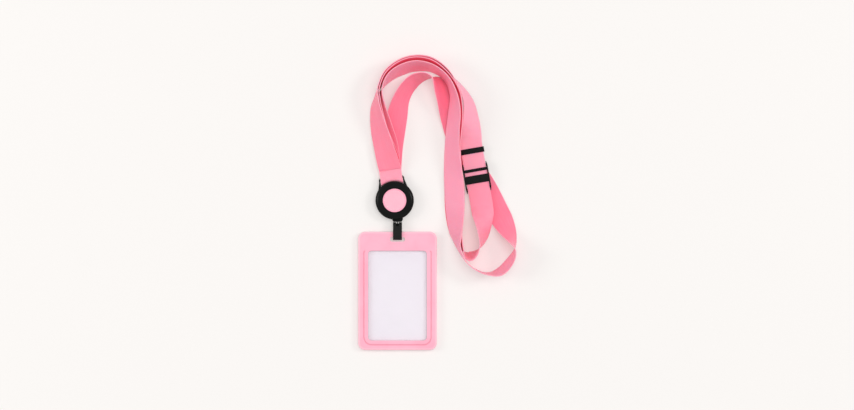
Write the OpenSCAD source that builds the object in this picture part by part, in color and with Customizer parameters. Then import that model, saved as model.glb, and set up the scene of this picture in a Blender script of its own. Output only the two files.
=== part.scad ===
// Badge holder on a retractable reel and a neck lanyard, lying flat on a table.
// X runs across the holder, Y from the holder to the reel, Z up. Millimetres.

/* [Badge holder] */
// Holder edge at each side of the window
side_margin = 8.8; // [7.5:0.1:13]
// Holder edge below the window
window_margin = 8.5; // [8:0.1:11]
// Height of the header above the window
header_h = 17; // [16:0.1:26]
// Thickness of the closed holder
holder_t = 5.2; // [4.8:0.1:6.5]
// Radius of the holder's corners
holder_corner_r = 6.3; // [3:0.1:9]
// Rounding of the holder's outer edges
holder_edge_r = 1.1; // [0.4:0.1:1.3]
// Thickness of the back shell's floor
floor_t = 1.4; // [1:0.1:1.8]
// Wall above the card pocket
pocket_wall = 3; // [2:0.1:4]

/* [Window] */
// How far the frame covers the card at each side
card_lap_w = 0.5; // [0.3:0.1:4]
// How far the frame covers the card at each end
card_lap_h = 2.3; // [1.5:0.1:6]
// Radius of the window's corners
window_r = 3.2; // [1:0.1:6]
// Thickness of the clear window pane
pane_t = 0.8; // [0.5:0.1:1]
// Overlap of the pane behind the window's edge
pane_lap = 2.5; // [1:0.1:3]
// Distance from the window to the pressed groove
groove_gap = 3.3; // [2:0.1:4]
// Width of the pressed groove
groove_w = 1; // [0.5:0.1:1.5]
// Depth of the pressed groove
groove_depth = 0.4; // [0.2:0.1:0.6]

/* [Card] */
// Width of the card
card_w = 54; // [50:0.1:56]
// Height of the card
card_h = 85.6; // [80:0.1:87]
// Thickness of the card
card_t = 0.76; // [0.5:0.01:1]
// Radius of the card's corners
card_r = 3.18; // [1:0.01:5]
// Free play over and under the card
card_play = 0.25; // [0.15:0.05:0.4]
// Free play beside the card
card_side_play = 0.4; // [0.2:0.1:1]
// Length of the thumb hole in the back
thumb_w = 20; // [14:0.5:30]
// Height of the thumb hole in the back
thumb_h = 12; // [9:0.5:18]

/* [Header slot] */
// Length of the strap slot
slot_w = 14; // [12:0.5:16]
// Height of the strap slot
slot_h = 4.2; // [3.8:0.1:5]
// Distance from the holder's top edge to the slot's centre
slot_drop = 6.9; // [6.6:0.1:7.4]
// Width of the raised rim round the slot
slot_rim_w = 1.8; // [1:0.1:2.2]
// Height of the raised rim round the slot
slot_rim_h = 0.3; // [0.2:0.1:0.5]

/* [Badge strap] */
// Width of the snap strap
strap_band_w = 8; // [6:0.5:9]
// Thickness of the snap strap
strap_band_t = 1; // [0.8:0.1:1]
// Inner radius of the loop round the header
loop_r = 2.8; // [2.5:0.1:2.8]
// Distance from the loop's centre to the swivel barrel
strap_len = 9.5; // [9:0.1:14]
// Distance from the slot's top edge to the loop's centre
loop_grip = 1.1; // [0.8:0.1:1.4]
// Radius of the snap's cap
snap_r = 2; // [1.5:0.1:2.1]
// Radius of the snap's socket
snap_socket_r = 1.4; // [1.2:0.05:1.5]
// Thickness of the snap's cap
snap_cap_t = 0.55; // [0.4:0.05:0.6]
// Height of the snap's socket
snap_socket_t = 1; // [0.6:0.1:1.2]
// Radius of the snap's stud
snap_stud_r = 0.8; // [0.5:0.1:1]

/* [Swivel barrel and cord] */
// Outer radius of the swivel barrel
barrel_r = 1.7; // [1.5:0.05:1.9]
// Bore radius of the swivel barrel
barrel_bore_r = 1.1; // [1.05:0.05:1.3]
// Running clearance of pins in their bores
pin_clear = 0.05; // [0.02:0.01:0.09]
// Radius of the pull cord
cord_r = 0.45; // [0.3:0.05:0.5]
// Radius of the knot bead at the cord's end
bead_r = 1; // [0.85:0.05:1.03]
// Gap between the strap's eye and the reel's nose
reel_gap = 0.35; // [0.3:0.05:1]
// Width of the eye's notch for the cord
notch_w = 2.6; // [2:0.1:3.5]

/* [Reel] */
// Diameter of the reel
reel_d = 34.5; // [32:0.1:40]
// Height of the reel's case without the face disc
case_t = 9.4; // [9.2:0.1:11]
// Height at which the case parts in two
case_split = 7; // [7:0.1:7.6]
// Wall of the case
case_wall = 1.3; // [1:0.1:1.5]
// Floor of the case
case_floor = 1.2; // [1:0.1:1.6]
// Rounding of the front case
bezel_r = 2.4; // [1.5:0.1:2.4]
// Chamfer round the case's back
case_chamfer = 0.8; // [0.3:0.1:1]
// Diameter of the face disc as a share of the reel's
disc_share = 0.609; // [0.5:0.001:0.65]
// Thickness of the face disc
disc_t = 1.3; // [0.8:0.1:1.6]
// Depth of the disc's seat in the front case
disc_seat = 1.1; // [0.6:0.1:1.2]
// Turn of the reel away from the holder's middle line
reel_tilt = 8.5; // [0:0.5:15]
// Length of the nose that the cord runs out of
nose_len = 2; // [1.4:0.1:4]
// Width of the nose at the reel
nose_w = 9.7; // [8:0.1:13]
// Width of the nose at its end
nose_end_w = 7.3; // [6:0.1:9]
// Height of the nose
nose_t = 4.4; // [4:0.1:5]

/* [Spool and spring] */
// Gap between the spool's flanges and the case's wall
spool_gap = 1.45; // [1.2:0.05:2.5]
// Outer radius of the drum as a share of the spool's
drum_share = 0.607; // [0.55:0.001:0.65]
// Wall of the drum
drum_wall = 0.8; // [0.5:0.1:1]
// Thickness of the spool's lower web
web_t = 1; // [0.6:0.1:1]
// Thickness of the spool's upper flange
spool_flange_t = 0.8; // [0.5:0.1:0.9]
// Width of the groove that holds the cord
winding_w = 3; // [2:0.1:3]
// Radius of the wound cord as a share of the spool's
winding_share = 0.8; // [0.7:0.01:0.9]
// Radius of the centre post
post_r = 2; // [1.5:0.1:2.5]
// Thickness of the washer under the spool
washer_t = 0.4; // [0.3:0.05:0.4]
// Radius of the washer
washer_r = 4.5; // [3.5:0.1:6]
// Thickness of the spring strip
spring_t = 0.25; // [0.15:0.05:0.4]
// Turns of the spring
spring_turns = 5; // [3:1:7]

/* [Lanyard mount] */
// Radius of the crossbar
bar_r = 0.9; // [0.7:0.1:1.2]
// Distance from the reel's rim to the crossbar's centre
bar_reach = 2.55; // [2.4:0.05:4]
// Height of the crossbar's centre over the table
bar_z = 3.2; // [3.2:0.1:3.4]
// Thickness of the ears that carry the crossbar
ear_t = 1.2; // [0.9:0.1:1.6]
// Free play beside the sewn tab
ear_play = 0.25; // [0.15:0.05:0.5]
// Distance from the crossbar to the tab's seam
seam_reach = 8.1; // [7:0.1:9]
// Length of the tab past its seam
tab_tail = 2.5; // [1.5:0.1:3]

/* [Lanyard] */
// Width of the ribbon
ribbon_w = 20; // [19:0.1:20.2]
// Thickness of the ribbon
ribbon_t = 0.8; // [0.6:0.05:0.8]
// Radius of the sewing thread
thread_r = 0.2; // [0.1:0.05:0.3]
// Number of stitches in the seam
stitch_count = 9; // [5:1:13]
// Length of one stitch
stitch_len = 1.3; // [0.8:0.1:1.5]

/* [Keeper and adjuster] */
// Length of the keeper along the ribbon
keeper_len = 4.8; // [3:0.1:5]
// Wall of the keeper
keeper_wall = 0.6; // [0.4:0.1:0.8]
// Distance from the adjuster's centre to the keeper's centre
keeper_reach = 24.3; // [23.5:0.1:24.5]
// Clearance between the ribbon and what it passes through
ribbon_play = 0.3; // [0.25:0.05:0.4]
// Length of the adjuster along the ribbon
adjuster_len = 26.5; // [24:0.1:26.5]
// Width of each rail of the adjuster
rail_w = 1.2; // [0.8:0.1:1.6]
// Thickness of the adjuster's crossbars
rung_t = 1; // [0.7:0.1:1.1]
// Length of the narrow crossbar along the ribbon
rung_narrow = 2.7; // [2:0.1:3.5]
// Length of the wide crossbar along the ribbon
rung_wide = 7.2; // [5:0.1:8]
// Length of the two end crossbars along the ribbon
rung_end = 3; // [2:0.1:4]

/* [Hidden] */
$fn = 64;
// How far a cut runs past the surface that it opens
overrun = 0.5;
// Clearance between pieces that are glued or pressed into a seat
seat_clear = 0.1;
// Gap between pieces that move past each other
move_gap = 0.3;

// The lanyard's route, measured from the seam: across, along, height of the lower
// edge, and the turn of the ribbon's width out of level in degrees
strap_front_route = [
    [0, 0, 4.3, 0], [-5, 18, 4.1, 25], [-10, 37, 3.4, 43], [-12.8, 54, 1.6, 62],
    [-12.3, 63.5, 0.8, 77], [-11, 73, 0.3, 90], [-3.2, 86.4, 0.3, 104], [9.5, 94.6, 0.3, 115],
    [23, 97.9, 0.3, 118], [37, 96.2, 0.3, 115], [51, 88.6, 0.6, 99], [61.5, 77, 1.3, 81],
    [70.4, 61, 2.3, 63], [72.7, 43, 3.2, 40], [72.5, 31.5, 3.8, 14], [73, 21.5, 4, 0],
    [78, -7, 4, 0]];
strap_inner_route = [
    [78, -7, 4, 0], [82.5, -32.5, 4, 0], [84, -47, 5.8, 38], [83.6, -61.5, 2, 68],
    [79.5, -72, 0.6, 92], [71.5, -77.8, 0.5, 113], [65.4, -72.5, 0.3, 86], [61.9, -64, 0.3, 72],
    [59, -54, 0.3, 53], [58.2, -36, 0.4, 32], [57.8, -16, 0.8, 28], [56.4, 3.5, 1.3, 40],
    [56.8, 22.5, 2.4, 50], [59.2, 41.5, 3.5, 56], [60, 57, 4.8, 61], [58.2, 71.6, 4.4, 70],
    [49.4, 85.8, 2.1, 74], [36.4, 94.2, 0.5, 65], [23, 96.2, 0.3, 62], [10, 93.1, 0.3, 65],
    [-2.1, 85.3, 0.3, 76], [-9.5, 72.8, 0.3, 90], [-10.9, 63.5, 0.3, 103], [-11.6, 54, 0.3, 118],
    [-9.8, 37, 1.4, 137], [-6, 23.5, 2.5, 151], [-1, 7, 3.1, 180]];
strap_outer_route = [
    [-1, 7, 2, 0], [-2.5, 21.5, 1.4, 13], [-6.5, 38.5, 1.1, 32], [-9, 55.5, 0.4, 57],
    [-7.7, 71, 0.3, 86], [-0.3, 82.8, 0.3, 107], [10.8, 89.9, 0.3, 116], [23.5, 93.2, 0.3, 116],
    [38, 91, 1, 108], [50.5, 81.9, 4.6, 103], [57, 67.5, 6.2, 108], [57.8, 52, 6.3, 122],
    [56.3, 34, 4.6, 126], [55.8, 13.5, 3.2, 133], [57.2, -9, 2.6, 148], [58.2, -30, 2.1, 148],
    [59, -54, 2.4, 127], [59.9, -61.5, 2, 113], [61.5, -69.5, 1.5, 100], [67.8, -82, 0.8, 91],
    [77, -89.8, 0.3, 89], [88.5, -93.6, 0.3, 85], [100, -90.8, 0.3, 69], [109.2, -80, 0.3, 74],
    [112.2, -70.5, 0.3, 92], [109, -61, 0.3, 121], [104, -51, 0.3, 149], [98, -39.5, 0.3, 176],
    [86, -16, 0.3, 180], [72, 6, 0.3, 180], [61, 28, 0.3, 178], [55.5, 46, 0.3, 169],
    [50.6, 62, 0.3, 147], [45.7, 75.2, 0.3, 132], [41.4, 80.6, 0.3, 113], [37.6, 83, 0.3, 90],
    [32.6, 83.9, 0.3, 75], [26.8, 82.7, 0.3, 64], [20.4, 79, 0.3, 54], [14, 71.4, 0.3, 49],
    [9.2, 61, 0.3, 40], [6.2, 47.5, 0.3, 22], [3.6, 34, 0.3, 8], [1.4, 19, 0.3, 2], [0, 0, 1.2, 0]];

// Sizes of the window and the holder, which follow the card
window_w = card_w - 2 * card_lap_w;
window_h = card_h - 2 * card_lap_h;
holder_w = window_w + 2 * side_margin;
holder_h = window_margin + window_h + header_h;

// Heights of the holder's layers
pocket_z = floor_t;
frame_z = pocket_z + card_t + 2 * card_play;
card_z = pocket_z + card_play;

// Reel heights, with the cord leaving in the middle of the spool's groove
reel_r = reel_d / 2;
case_inner_r = reel_r - case_wall;
disc_d = reel_d * disc_share;
spool_r = case_inner_r - spool_gap;
drum_r = spool_r * drum_share;
winding_r = spool_r * winding_share;
spool_z = case_floor + washer_t + seat_clear;
groove_z = spool_z + web_t;
spool_top = groove_z + winding_w + spool_flange_t;
cord_z = groove_z + winding_w / 2;
disc_z = case_t - disc_seat;

// Radii of the strap's loop and eye
eye_r = barrel_r + pin_clear;
eye_outer_r = eye_r + strap_band_t;
loop_outer_r = loop_r + strap_band_t;

// Places measured on the reel, from its centre
bar_y = reel_r + bar_reach;
seam_y = bar_y + seam_reach;
tab_end_y = seam_y + tab_tail;

// Places along the part, whose middle is at Y 0
reel_to_end = tab_end_y * cos(reel_tilt) + ribbon_w / 2 * sin(reel_tilt);
holder_to_loop = holder_h - slot_drop + slot_h / 2 + loop_grip;
loop_to_reel = strap_len + eye_outer_r + reel_gap + nose_len + reel_r;
total_len = holder_to_loop + loop_to_reel + reel_to_end;
holder_y = -total_len / 2;
holder_top_y = holder_y + holder_h;
slot_y = holder_top_y - slot_drop;
window_y = holder_y + window_margin + window_h / 2;
loop_y = holder_y + holder_to_loop;
loop_z = (frame_z + holder_t) / 2;
pin_y = loop_y + strap_len;
reel_x = -reel_r * sin(reel_tilt);
reel_y = loop_y + loop_to_reel;
seam_at = [reel_x - seam_y * sin(reel_tilt), reel_y + seam_y * cos(reel_tilt), 0];

// The card pocket, open toward -X
pocket_w = card_w + 2 * card_side_play;
pocket_h = card_h + 2 * card_side_play;
pocket_top_y = window_y + pocket_h / 2;
back_h = pocket_top_y + pocket_wall - holder_y;

// The straight run of the ribbon that carries the keeper and the adjuster
run_end = strap_front_route[len(strap_front_route) - 1];
run_start = strap_front_route[len(strap_front_route) - 2];
run_dir = [run_end[0] - run_start[0], run_end[1] - run_start[1]];
run_turn = atan2(run_dir[1], run_dir[0]) + 90;
run_z = run_end[2];
run_slot_w = ribbon_w + 2 * ribbon_play;
rung_z = run_z - ribbon_play - rung_t;
rail_h = ribbon_t + 2 * (ribbon_play + rung_t);

// A flat plate with round corners, centred in X and Y
module plate(size, r, t) {
    linear_extrude(t) {
        square([size[0] - 2 * r, size[1]], center = true);
        square([size[0], size[1] - 2 * r], center = true);
        for (x = [-1, 1], y = [-1, 1])
            translate([x * (size[0] / 2 - r), y * (size[1] / 2 - r)]) circle(r);
    }
}

// A plate with round corners whose upper edge is rounded too
module soft_plate(size, r, t, edge) {
    plate(size, r, t - edge);
    plate([size[0] - 2 * edge, size[1] - 2 * edge], r - edge, t);
    translate([0, 0, t - edge]) {
        for (y = [-1, 1]) translate([0, y * (size[1] / 2 - edge), 0])
            rotate([0, 90, 0]) cylinder(h = size[0] - 2 * r, r = edge, center = true);
        for (x = [-1, 1]) translate([x * (size[0] / 2 - edge), 0, 0])
            rotate([90, 0, 0]) cylinder(h = size[1] - 2 * r, r = edge, center = true);
        for (x = [-1, 1], y = [-1, 1])
            translate([x * (size[0] / 2 - r), y * (size[1] / 2 - r), 0])
                rotate_extrude() translate([r - edge, 0]) intersection() {
                    circle(edge);
                    square(edge);
                }
    }
}

// A flat plate with two half-round ends, whose circles nearly meet
end_round_share = 0.499;
module stadium(size, t) {
    plate(size, end_round_share * size[1], t);
}

// Places children at a height on the holder's middle line
module on_holder(y, z) {
    translate([0, y, z]) children();
}

// Places children in the reel's own frame, which is turned on the table
module on_reel(z = 0) {
    translate([reel_x, reel_y, z]) rotate([0, 0, reel_tilt]) children();
}

// Places children on the ribbon's straight run, measured up along it from the adjuster
module on_run(along, z) {
    translate(seam_at + [run_end[0], run_end[1], z])
        rotate([0, 0, run_turn]) translate([0, along, 0]) children();
}

// A shaft across the part, centred at X 0
module across(y, z, r, len) {
    translate([0, y, z]) rotate([0, 90, 0]) cylinder(h = len, r = r, center = true);
}

// The front half of the holder, with the window, the groove and the header slot
module front_frame() {
    frame_t = holder_t - frame_z;
    groove_in = [window_w + 2 * groove_gap, window_h + 2 * groove_gap];
    groove_out = [groove_in[0] + 2 * groove_w, groove_in[1] + 2 * groove_w];
    color("pink") difference() {
        union() {
            on_holder(holder_y + holder_h / 2, frame_z)
                soft_plate([holder_w, holder_h], holder_corner_r, frame_t, holder_edge_r);
            on_holder(slot_y, frame_z)
                stadium([slot_w + 2 * slot_rim_w, slot_h + 2 * slot_rim_w], frame_t + slot_rim_h);
        }
        on_holder(window_y, frame_z - overrun)
            plate([window_w, window_h], window_r, frame_t + 2 * overrun);
        on_holder(window_y, frame_z - overrun)
            plate([window_w + 2 * (pane_lap + seat_clear), window_h + 2 * (pane_lap + seat_clear)],
                  window_r + pane_lap, pane_t + seat_clear + overrun);
        on_holder(slot_y, frame_z - overrun) stadium([slot_w, slot_h], frame_t + slot_rim_h + 2 * overrun);
        on_holder(window_y, holder_t - groove_depth) difference() {
            plate(groove_out, window_r + groove_gap + groove_w, groove_depth + overrun);
            plate(groove_in, window_r + groove_gap, groove_depth + overrun);
            translate([-groove_out[0] / 2, window_h / 2, 0])
                cube([groove_out[0], groove_gap + groove_w, groove_depth + overrun]);
        }
    }
}

// The clear pane glued behind the window
module window_pane() {
    color("lavender", 0.5) on_holder(window_y, frame_z)
        plate([window_w + 2 * pane_lap, window_h + 2 * pane_lap], window_r + pane_lap - seat_clear, pane_t);
}

// The back half of the holder, a tray that is open on the left for the card
module back_shell() {
    color("hotpink") difference() {
        translate([0, holder_y + back_h / 2, frame_z]) mirror([0, 0, 1])
            soft_plate([holder_w, back_h], holder_corner_r, frame_z, holder_edge_r);
        translate([-holder_w / 2 - overrun, window_y - pocket_h / 2, pocket_z])
            cube([holder_w / 2 + pocket_w / 2 + overrun, pocket_h, frame_z]);
        on_holder(window_y, -overrun) stadium([thumb_w, thumb_h], floor_t + 2 * overrun);
    }
}

// The printed card in the pocket
module id_card() {
    color("white") on_holder(window_y, card_z) plate([card_w, card_h], card_r, card_t);
}

// Points where the two straight sides of a belt meet its end circles, in the Y-Z plane
function belt_points(a, ra, b, rb) =
    let (d = norm(b - a), u = (b - a) / d, v = [-u[1], u[0]], c = (ra - rb) / d, s = sqrt(1 - c * c))
    [a + ra * (c * u + s * v), a + ra * (c * u - s * v), b + rb * (c * u - s * v), b + rb * (c * u + s * v)];

// The outline of a belt: an arc round its loop end, and straight sides up to its eye
loop_steps = 30;
function belt_outline(a, ra, b, rb) =
    let (ends = belt_points(a, ra, b, rb), from = ends[0] - a, turn = acos((ra - rb) / norm(b - a)))
    concat([for (i = [0 : loop_steps]) let (g = (360 - 2 * turn) * i / loop_steps)
                a + [from[0] * cos(g) - from[1] * sin(g), from[0] * sin(g) + from[1] * cos(g)]],
           [ends[2], ends[3]]);

// The solid inside a belt's outline, laid across the part
module belt(ra, rb, len) {
    translate([-len / 2, 0, 0]) rotate([90, 0, 90]) linear_extrude(len)
        polygon(belt_outline([loop_y, loop_z], ra, [pin_y, cord_z], rb));
}

// The black strap that loops through the header slot and carries its eye on the barrel
module badge_strap() {
    cut_w = strap_band_w + 2 * overrun;
    color("dimgray") difference() {
        union() {
            difference() {
                belt(loop_outer_r, eye_outer_r - seat_clear, strap_band_w);
                belt(loop_r, eye_r + seat_clear, cut_w);
            }
            across(pin_y, cord_z, eye_outer_r, strap_band_w);
        }
        across(pin_y, cord_z, eye_r, cut_w);
        translate([-notch_w / 2, pin_y - 2 * cord_r, cord_z - 2 * eye_outer_r])
            cube([notch_w, 4 * eye_outer_r, 4 * eye_outer_r]);
        on_snap(0) cylinder(h = strap_band_t + 2 * overrun, r = snap_stud_r, center = true);
    }
}

// Slope of the strap's rear leg, and the middle of the snap on its centre line
leg_a = belt_points([loop_y, loop_z], loop_r + strap_band_t / 2, [pin_y, cord_z], eye_r + strap_band_t / 2);
leg_dir = leg_a[2] - leg_a[1];
snap_share = 0.575;
module on_snap(z) {
    at = leg_a[1] + leg_dir * snap_share;
    translate([0, at[0], at[1]]) rotate([atan2(leg_dir[1], leg_dir[0]), 0, 0]) translate([0, 0, z]) children();
}

// The snap's cap with its stud, on the outside of the strap's rear leg
module snap_cap() {
    color("silver") {
        on_snap(-strap_band_t / 2 - snap_cap_t) cylinder(h = snap_cap_t, r = snap_r);
        on_snap(-strap_band_t / 2) cylinder(h = strap_band_t, r = snap_stud_r);
    }
}

// The snap's socket, on the inside of the strap's rear leg
module snap_socket() {
    color("gray") on_snap(strap_band_t / 2) difference() {
        cylinder(h = snap_socket_t, r = snap_socket_r);
        translate([0, 0, snap_socket_t / 2]) cylinder(h = snap_socket_t, r = snap_stud_r);
    }
}

// The barrel that turns on the cord's end and carries the strap's eye
module swivel_barrel() {
    color("darkgray") difference() {
        across(pin_y, cord_z, barrel_r, strap_band_w);
        across(pin_y, cord_z, barrel_bore_r, strap_band_w + 2 * overrun);
        translate([0, pin_y, cord_z]) rotate([-90, 0, 0])
            cylinder(h = barrel_r + overrun, r = cord_r + 2 * pin_clear);
    }
}

// The knot at the cord's end, held inside the barrel
module cord_bead() {
    color("black") translate([0, pin_y, cord_z]) sphere(bead_r);
}

// The straight end of the cord, from the knot to the wound cord
knot_sink = 0.02;
module pull_cord() {
    cord_from = pin_y + bead_r - knot_sink;
    cord_to = reel_y - sqrt(winding_r * winding_r - reel_x * reel_x) - move_gap;
    color("black") translate([0, cord_from, cord_z]) rotate([-90, 0, 0])
        cylinder(h = cord_to - cord_from, r = cord_r);
}

// The bushing in the nose, along the cord: outer, bore and mouth radius, and its tail
bushing_r = 1.6;
bushing_bore_r = 0.8;
bushing_mouth_r = 1.25;
bushing_tail = 0.9;
nose_y = reel_y - reel_r - nose_len;
bushing_len = nose_len + case_wall + bushing_tail;
module along_cord(from, r1, r2, len) {
    translate([0, from, cord_z]) rotate([-90, 0, 0]) cylinder(h = len, r1 = r1, r2 = r2);
}

// The ear's plan on the right side, curved out from the rim to a point past the crossbar
ear_in = ribbon_w / 2 + ear_play;
ear_base_turn = 55;
ear_root_r = reel_r - case_wall / 2;
ear_h = 2 * (bar_r + ribbon_t + seat_clear);
ear_waist_share = 0.55;
module ear_plan() {
    root_y = sqrt(ear_root_r * ear_root_r - ear_in * ear_in);
    tip_y = bar_y + ear_h / 2;
    waist_y = root_y + (tip_y - root_y) * ear_waist_share;
    polygon([[ear_in, root_y], [ear_root_r * sin(ear_base_turn), ear_root_r * cos(ear_base_turn)],
             [ear_in + ear_t, waist_y], [ear_in + ear_t, bar_y], [ear_in, tip_y]]);
}

// The nose round the cord's exit, which ends in the middle of the case's wall
module nose() {
    difference() {
        translate([0, 0, cord_z - nose_t / 2]) linear_extrude(nose_t)
            polygon([[-nose_end_w / 2, nose_y], [nose_end_w / 2, nose_y], [nose_w / 2, nose_y + nose_len],
                     [nose_w / 2, reel_y], [-nose_w / 2, reel_y], [-nose_w / 2, nose_y + nose_len]]);
        on_reel() cylinder(h = case_t, r = ear_root_r);
    }
}

// The cup of the reel with the nose, the two ears and the crossbar
module back_case() {
    color("black") difference() {
        union() {
            on_reel() rotate_extrude() polygon([
                [0, 0], [reel_r - case_chamfer, 0], [reel_r, case_chamfer], [reel_r, case_split],
                [case_inner_r, case_split], [case_inner_r, case_floor], [0, case_floor]]);
            on_reel(bar_z - ear_h / 2) for (side = [0, 1]) mirror([side, 0, 0])
                linear_extrude(ear_h) ear_plan();
            on_reel(bar_z) translate([0, bar_y, 0]) rotate([0, 90, 0])
                cylinder(h = 2 * ear_in + ear_t, r = bar_r, center = true);
            nose();
        }
        on_reel(case_floor / 2) cylinder(h = case_floor, r = post_r);
        along_cord(nose_y - overrun, bushing_r, bushing_r, bushing_len + 2 * overrun);
    }
}

// The front of the reel, a rounded ring with a seat for the face disc
module front_case() {
    roof = disc_z - case_split;
    lip_t = case_inner_r - seat_clear - spool_r - move_gap;
    lip_h = spool_flange_t + seat_clear;
    color("black") on_reel(case_split) difference() {
        union() {
            rotate_extrude() {
                square([reel_r - bezel_r, case_t - case_split]);
                translate([reel_r - bezel_r, 0]) intersection() {
                    circle(bezel_r);
                    square([bezel_r, case_t - case_split]);
                }
            }
            translate([0, 0, -lip_h]) difference() {
                cylinder(h = lip_h + roof / 2, r = case_inner_r - seat_clear);
                translate([0, 0, -overrun]) cylinder(h = lip_h + overrun, r = case_inner_r - seat_clear - lip_t);
            }
        }
        translate([0, 0, roof]) cylinder(h = disc_seat + overrun, r = disc_d / 2 + seat_clear);
        translate([0, 0, -overrun]) cylinder(h = roof / 2 + overrun, r = post_r);
    }
}

// The coloured disc on the reel's front, with a raised rim
disc_rim_share = 0.08;
disc_dish = 0.3;
module face_disc() {
    color("deeppink") on_reel(disc_z) difference() {
        cylinder(h = disc_t, r = disc_d / 2);
        translate([0, 0, disc_t - disc_dish])
            cylinder(h = disc_dish + overrun, r = disc_d / 2 * (1 - disc_rim_share));
    }
}

// The steel post that joins both halves of the case and carries the spool
module centre_post() {
    post_top = case_split + (disc_z - case_split) / 2;
    color("silver") on_reel(case_floor / 2) cylinder(h = post_top - case_floor / 2, r = post_r);
}

// The washer between the case and the spool
module spool_washer() {
    color("white") on_reel(case_floor) difference() {
        cylinder(h = washer_t, r = washer_r);
        translate([0, 0, -overrun]) cylinder(h = washer_t + 2 * overrun, r = post_r + pin_clear);
    }
}

// The spool, a drum between a closed web and an upper flange
module spool() {
    bore_r = post_r + pin_clear;
    color("dimgray") on_reel() rotate_extrude() polygon([
        [bore_r, spool_z], [spool_r, spool_z], [spool_r, groove_z], [drum_r, groove_z],
        [drum_r, groove_z + winding_w], [spool_r, groove_z + winding_w], [spool_r, spool_top],
        [drum_r - drum_wall, spool_top], [drum_r - drum_wall, groove_z], [bore_r, groove_z]]);
}

// The cord wound on the drum
module cord_winding() {
    color("black") on_reel(groove_z + seat_clear) difference() {
        cylinder(h = winding_w - 2 * seat_clear, r = winding_r);
        translate([0, 0, -overrun]) cylinder(h = winding_w + 2 * overrun, r = drum_r);
    }
}

// The flat spiral spring between the post and the drum
spring_steps = 24;
module power_spring() {
    from_r = post_r + spring_t / 2;
    to_r = drum_r - drum_wall - spring_t / 2 - move_gap;
    count = spring_turns * spring_steps;
    function at(i, shift) = let (r = from_r + (to_r - from_r) * i / count + shift, a = 360 * i / spring_steps)
        [r * cos(a), r * sin(a)];
    color("steelblue") on_reel(groove_z + move_gap) linear_extrude(winding_w - move_gap)
        polygon([for (i = [0 : count]) at(i, spring_t / 2), for (i = [count : -1 : 0]) at(i, -spring_t / 2)]);
}

// The smooth mouth that the cord runs out of
module exit_bushing() {
    mouth = bushing_len / 3;
    color("silver") difference() {
        along_cord(nose_y, bushing_r, bushing_r, bushing_len);
        along_cord(nose_y - overrun, bushing_bore_r, bushing_bore_r, bushing_len + 2 * overrun);
        along_cord(nose_y, bushing_mouth_r, bushing_bore_r, mouth);
    }
}

// The short ribbon sewn round the crossbar
module attachment_tab() {
    eye_in = bar_r + seat_clear;
    color("deeppink") on_reel(bar_z) difference() {
        union() {
            translate([0, bar_y, 0]) rotate([0, 90, 0])
                cylinder(h = ribbon_w, r = eye_in + ribbon_t, center = true);
            translate([-ribbon_w / 2, bar_y, -ribbon_t]) cube([ribbon_w, tab_end_y - bar_y, 2 * ribbon_t]);
        }
        translate([0, bar_y, 0]) rotate([0, 90, 0])
            cylinder(h = ribbon_w + 2 * overrun, r = eye_in, center = true);
    }
}

// The row of stitches through the tab and both ribbon ends
module seam_stitch() {
    pitch = (ribbon_w - 2 * stitch_len) / (stitch_count - 1);
    stitch_z = strap_front_route[0][2] + ribbon_t + thread_r + pin_clear;
    color("crimson") on_reel(stitch_z) translate([0, seam_y, 0])
        for (i = [0 : stitch_count - 1])
            translate([-ribbon_w / 2 + stitch_len + i * pitch, 0, 0])
                rotate([90, 0, 0]) cylinder(h = stitch_len, r = thread_r, center = true);
}

// One ring of a ribbon: an oblong in five strips across its width, square to the route
ribbon_strips = 5;
function rise(p) = p[2] + ribbon_w / 2 * abs(sin(p[3])) + ribbon_t / 2 * abs(cos(p[3]));
function level(v) = [v[0], v[1], 0] / norm([v[0], v[1]]);
function oblong() = let (a = ribbon_w / 2, b = ribbon_t / 2, n = ribbon_strips)
    [for (side = [-1, 1], i = [0 : n]) [side * (a - 2 * a * i / n), side * b]];
function ring(route, i) =
    let (p = route[i], q = route[max(i - 1, 0)], r = route[min(i + 1, len(route) - 1)],
         ahead = level([r[0] - q[0], r[1] - q[1]]),
         wide = [ahead[1], -ahead[0], 0] * cos(p[3]) + [0, 0, 1] * sin(p[3]),
         thick = cross(wide, ahead))
    [for (s = oblong()) [p[0], p[1], rise(p)] + wide * s[0] + thick * s[1]];

// The ribbon swept along a route
module ribbon(route) {
    rings = len(route);
    sides = len(oblong());
    points = [for (i = [0 : rings - 1]) each ring(route, i)];
    sheath = [for (i = [0 : rings - 2], j = [0 : sides - 1])
        let (a = i * sides + j, b = i * sides + (j + 1) % sides)
        each j < sides / 2 ? [[a, b, a + sides], [b, b + sides, a + sides]]
                           : [[a, b + sides, a + sides], [a, b, b + sides]]];
    start = [for (j = [0 : ribbon_strips - 1]) let (k = sides - 1 - j) each [[j, k, j + 1], [j + 1, k, k - 1]]];
    finish = [for (f = start) [f[0], f[2], f[1]] + [1, 1, 1] * (rings - 1) * sides];
    translate(seam_at) polyhedron(points, concat(sheath, start, finish));
}

// The ribbon from the seam round the upper arch to the adjuster
module strap_front() {
    color("hotpink") ribbon(strap_front_route);
}

// The ribbon from the adjuster round the inner bend to the neck fold
module strap_inner() {
    color("palevioletred") ribbon(strap_inner_route);
}

// The ribbon from the neck fold round the outer bend back to the seam
module strap_outer() {
    color("lightpink") ribbon(strap_outer_route);
}

// The loop that keeps the ribbon flat above the adjuster
module keeper() {
    outer = [run_slot_w + 2 * keeper_wall, keeper_len, ribbon_t + 2 * (ribbon_play + keeper_wall)];
    color("black") on_run(keeper_reach, run_z + ribbon_t / 2) difference() {
        cube(outer, center = true);
        cube([run_slot_w, keeper_len + 2 * overrun, ribbon_t + 2 * ribbon_play], center = true);
    }
}

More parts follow.
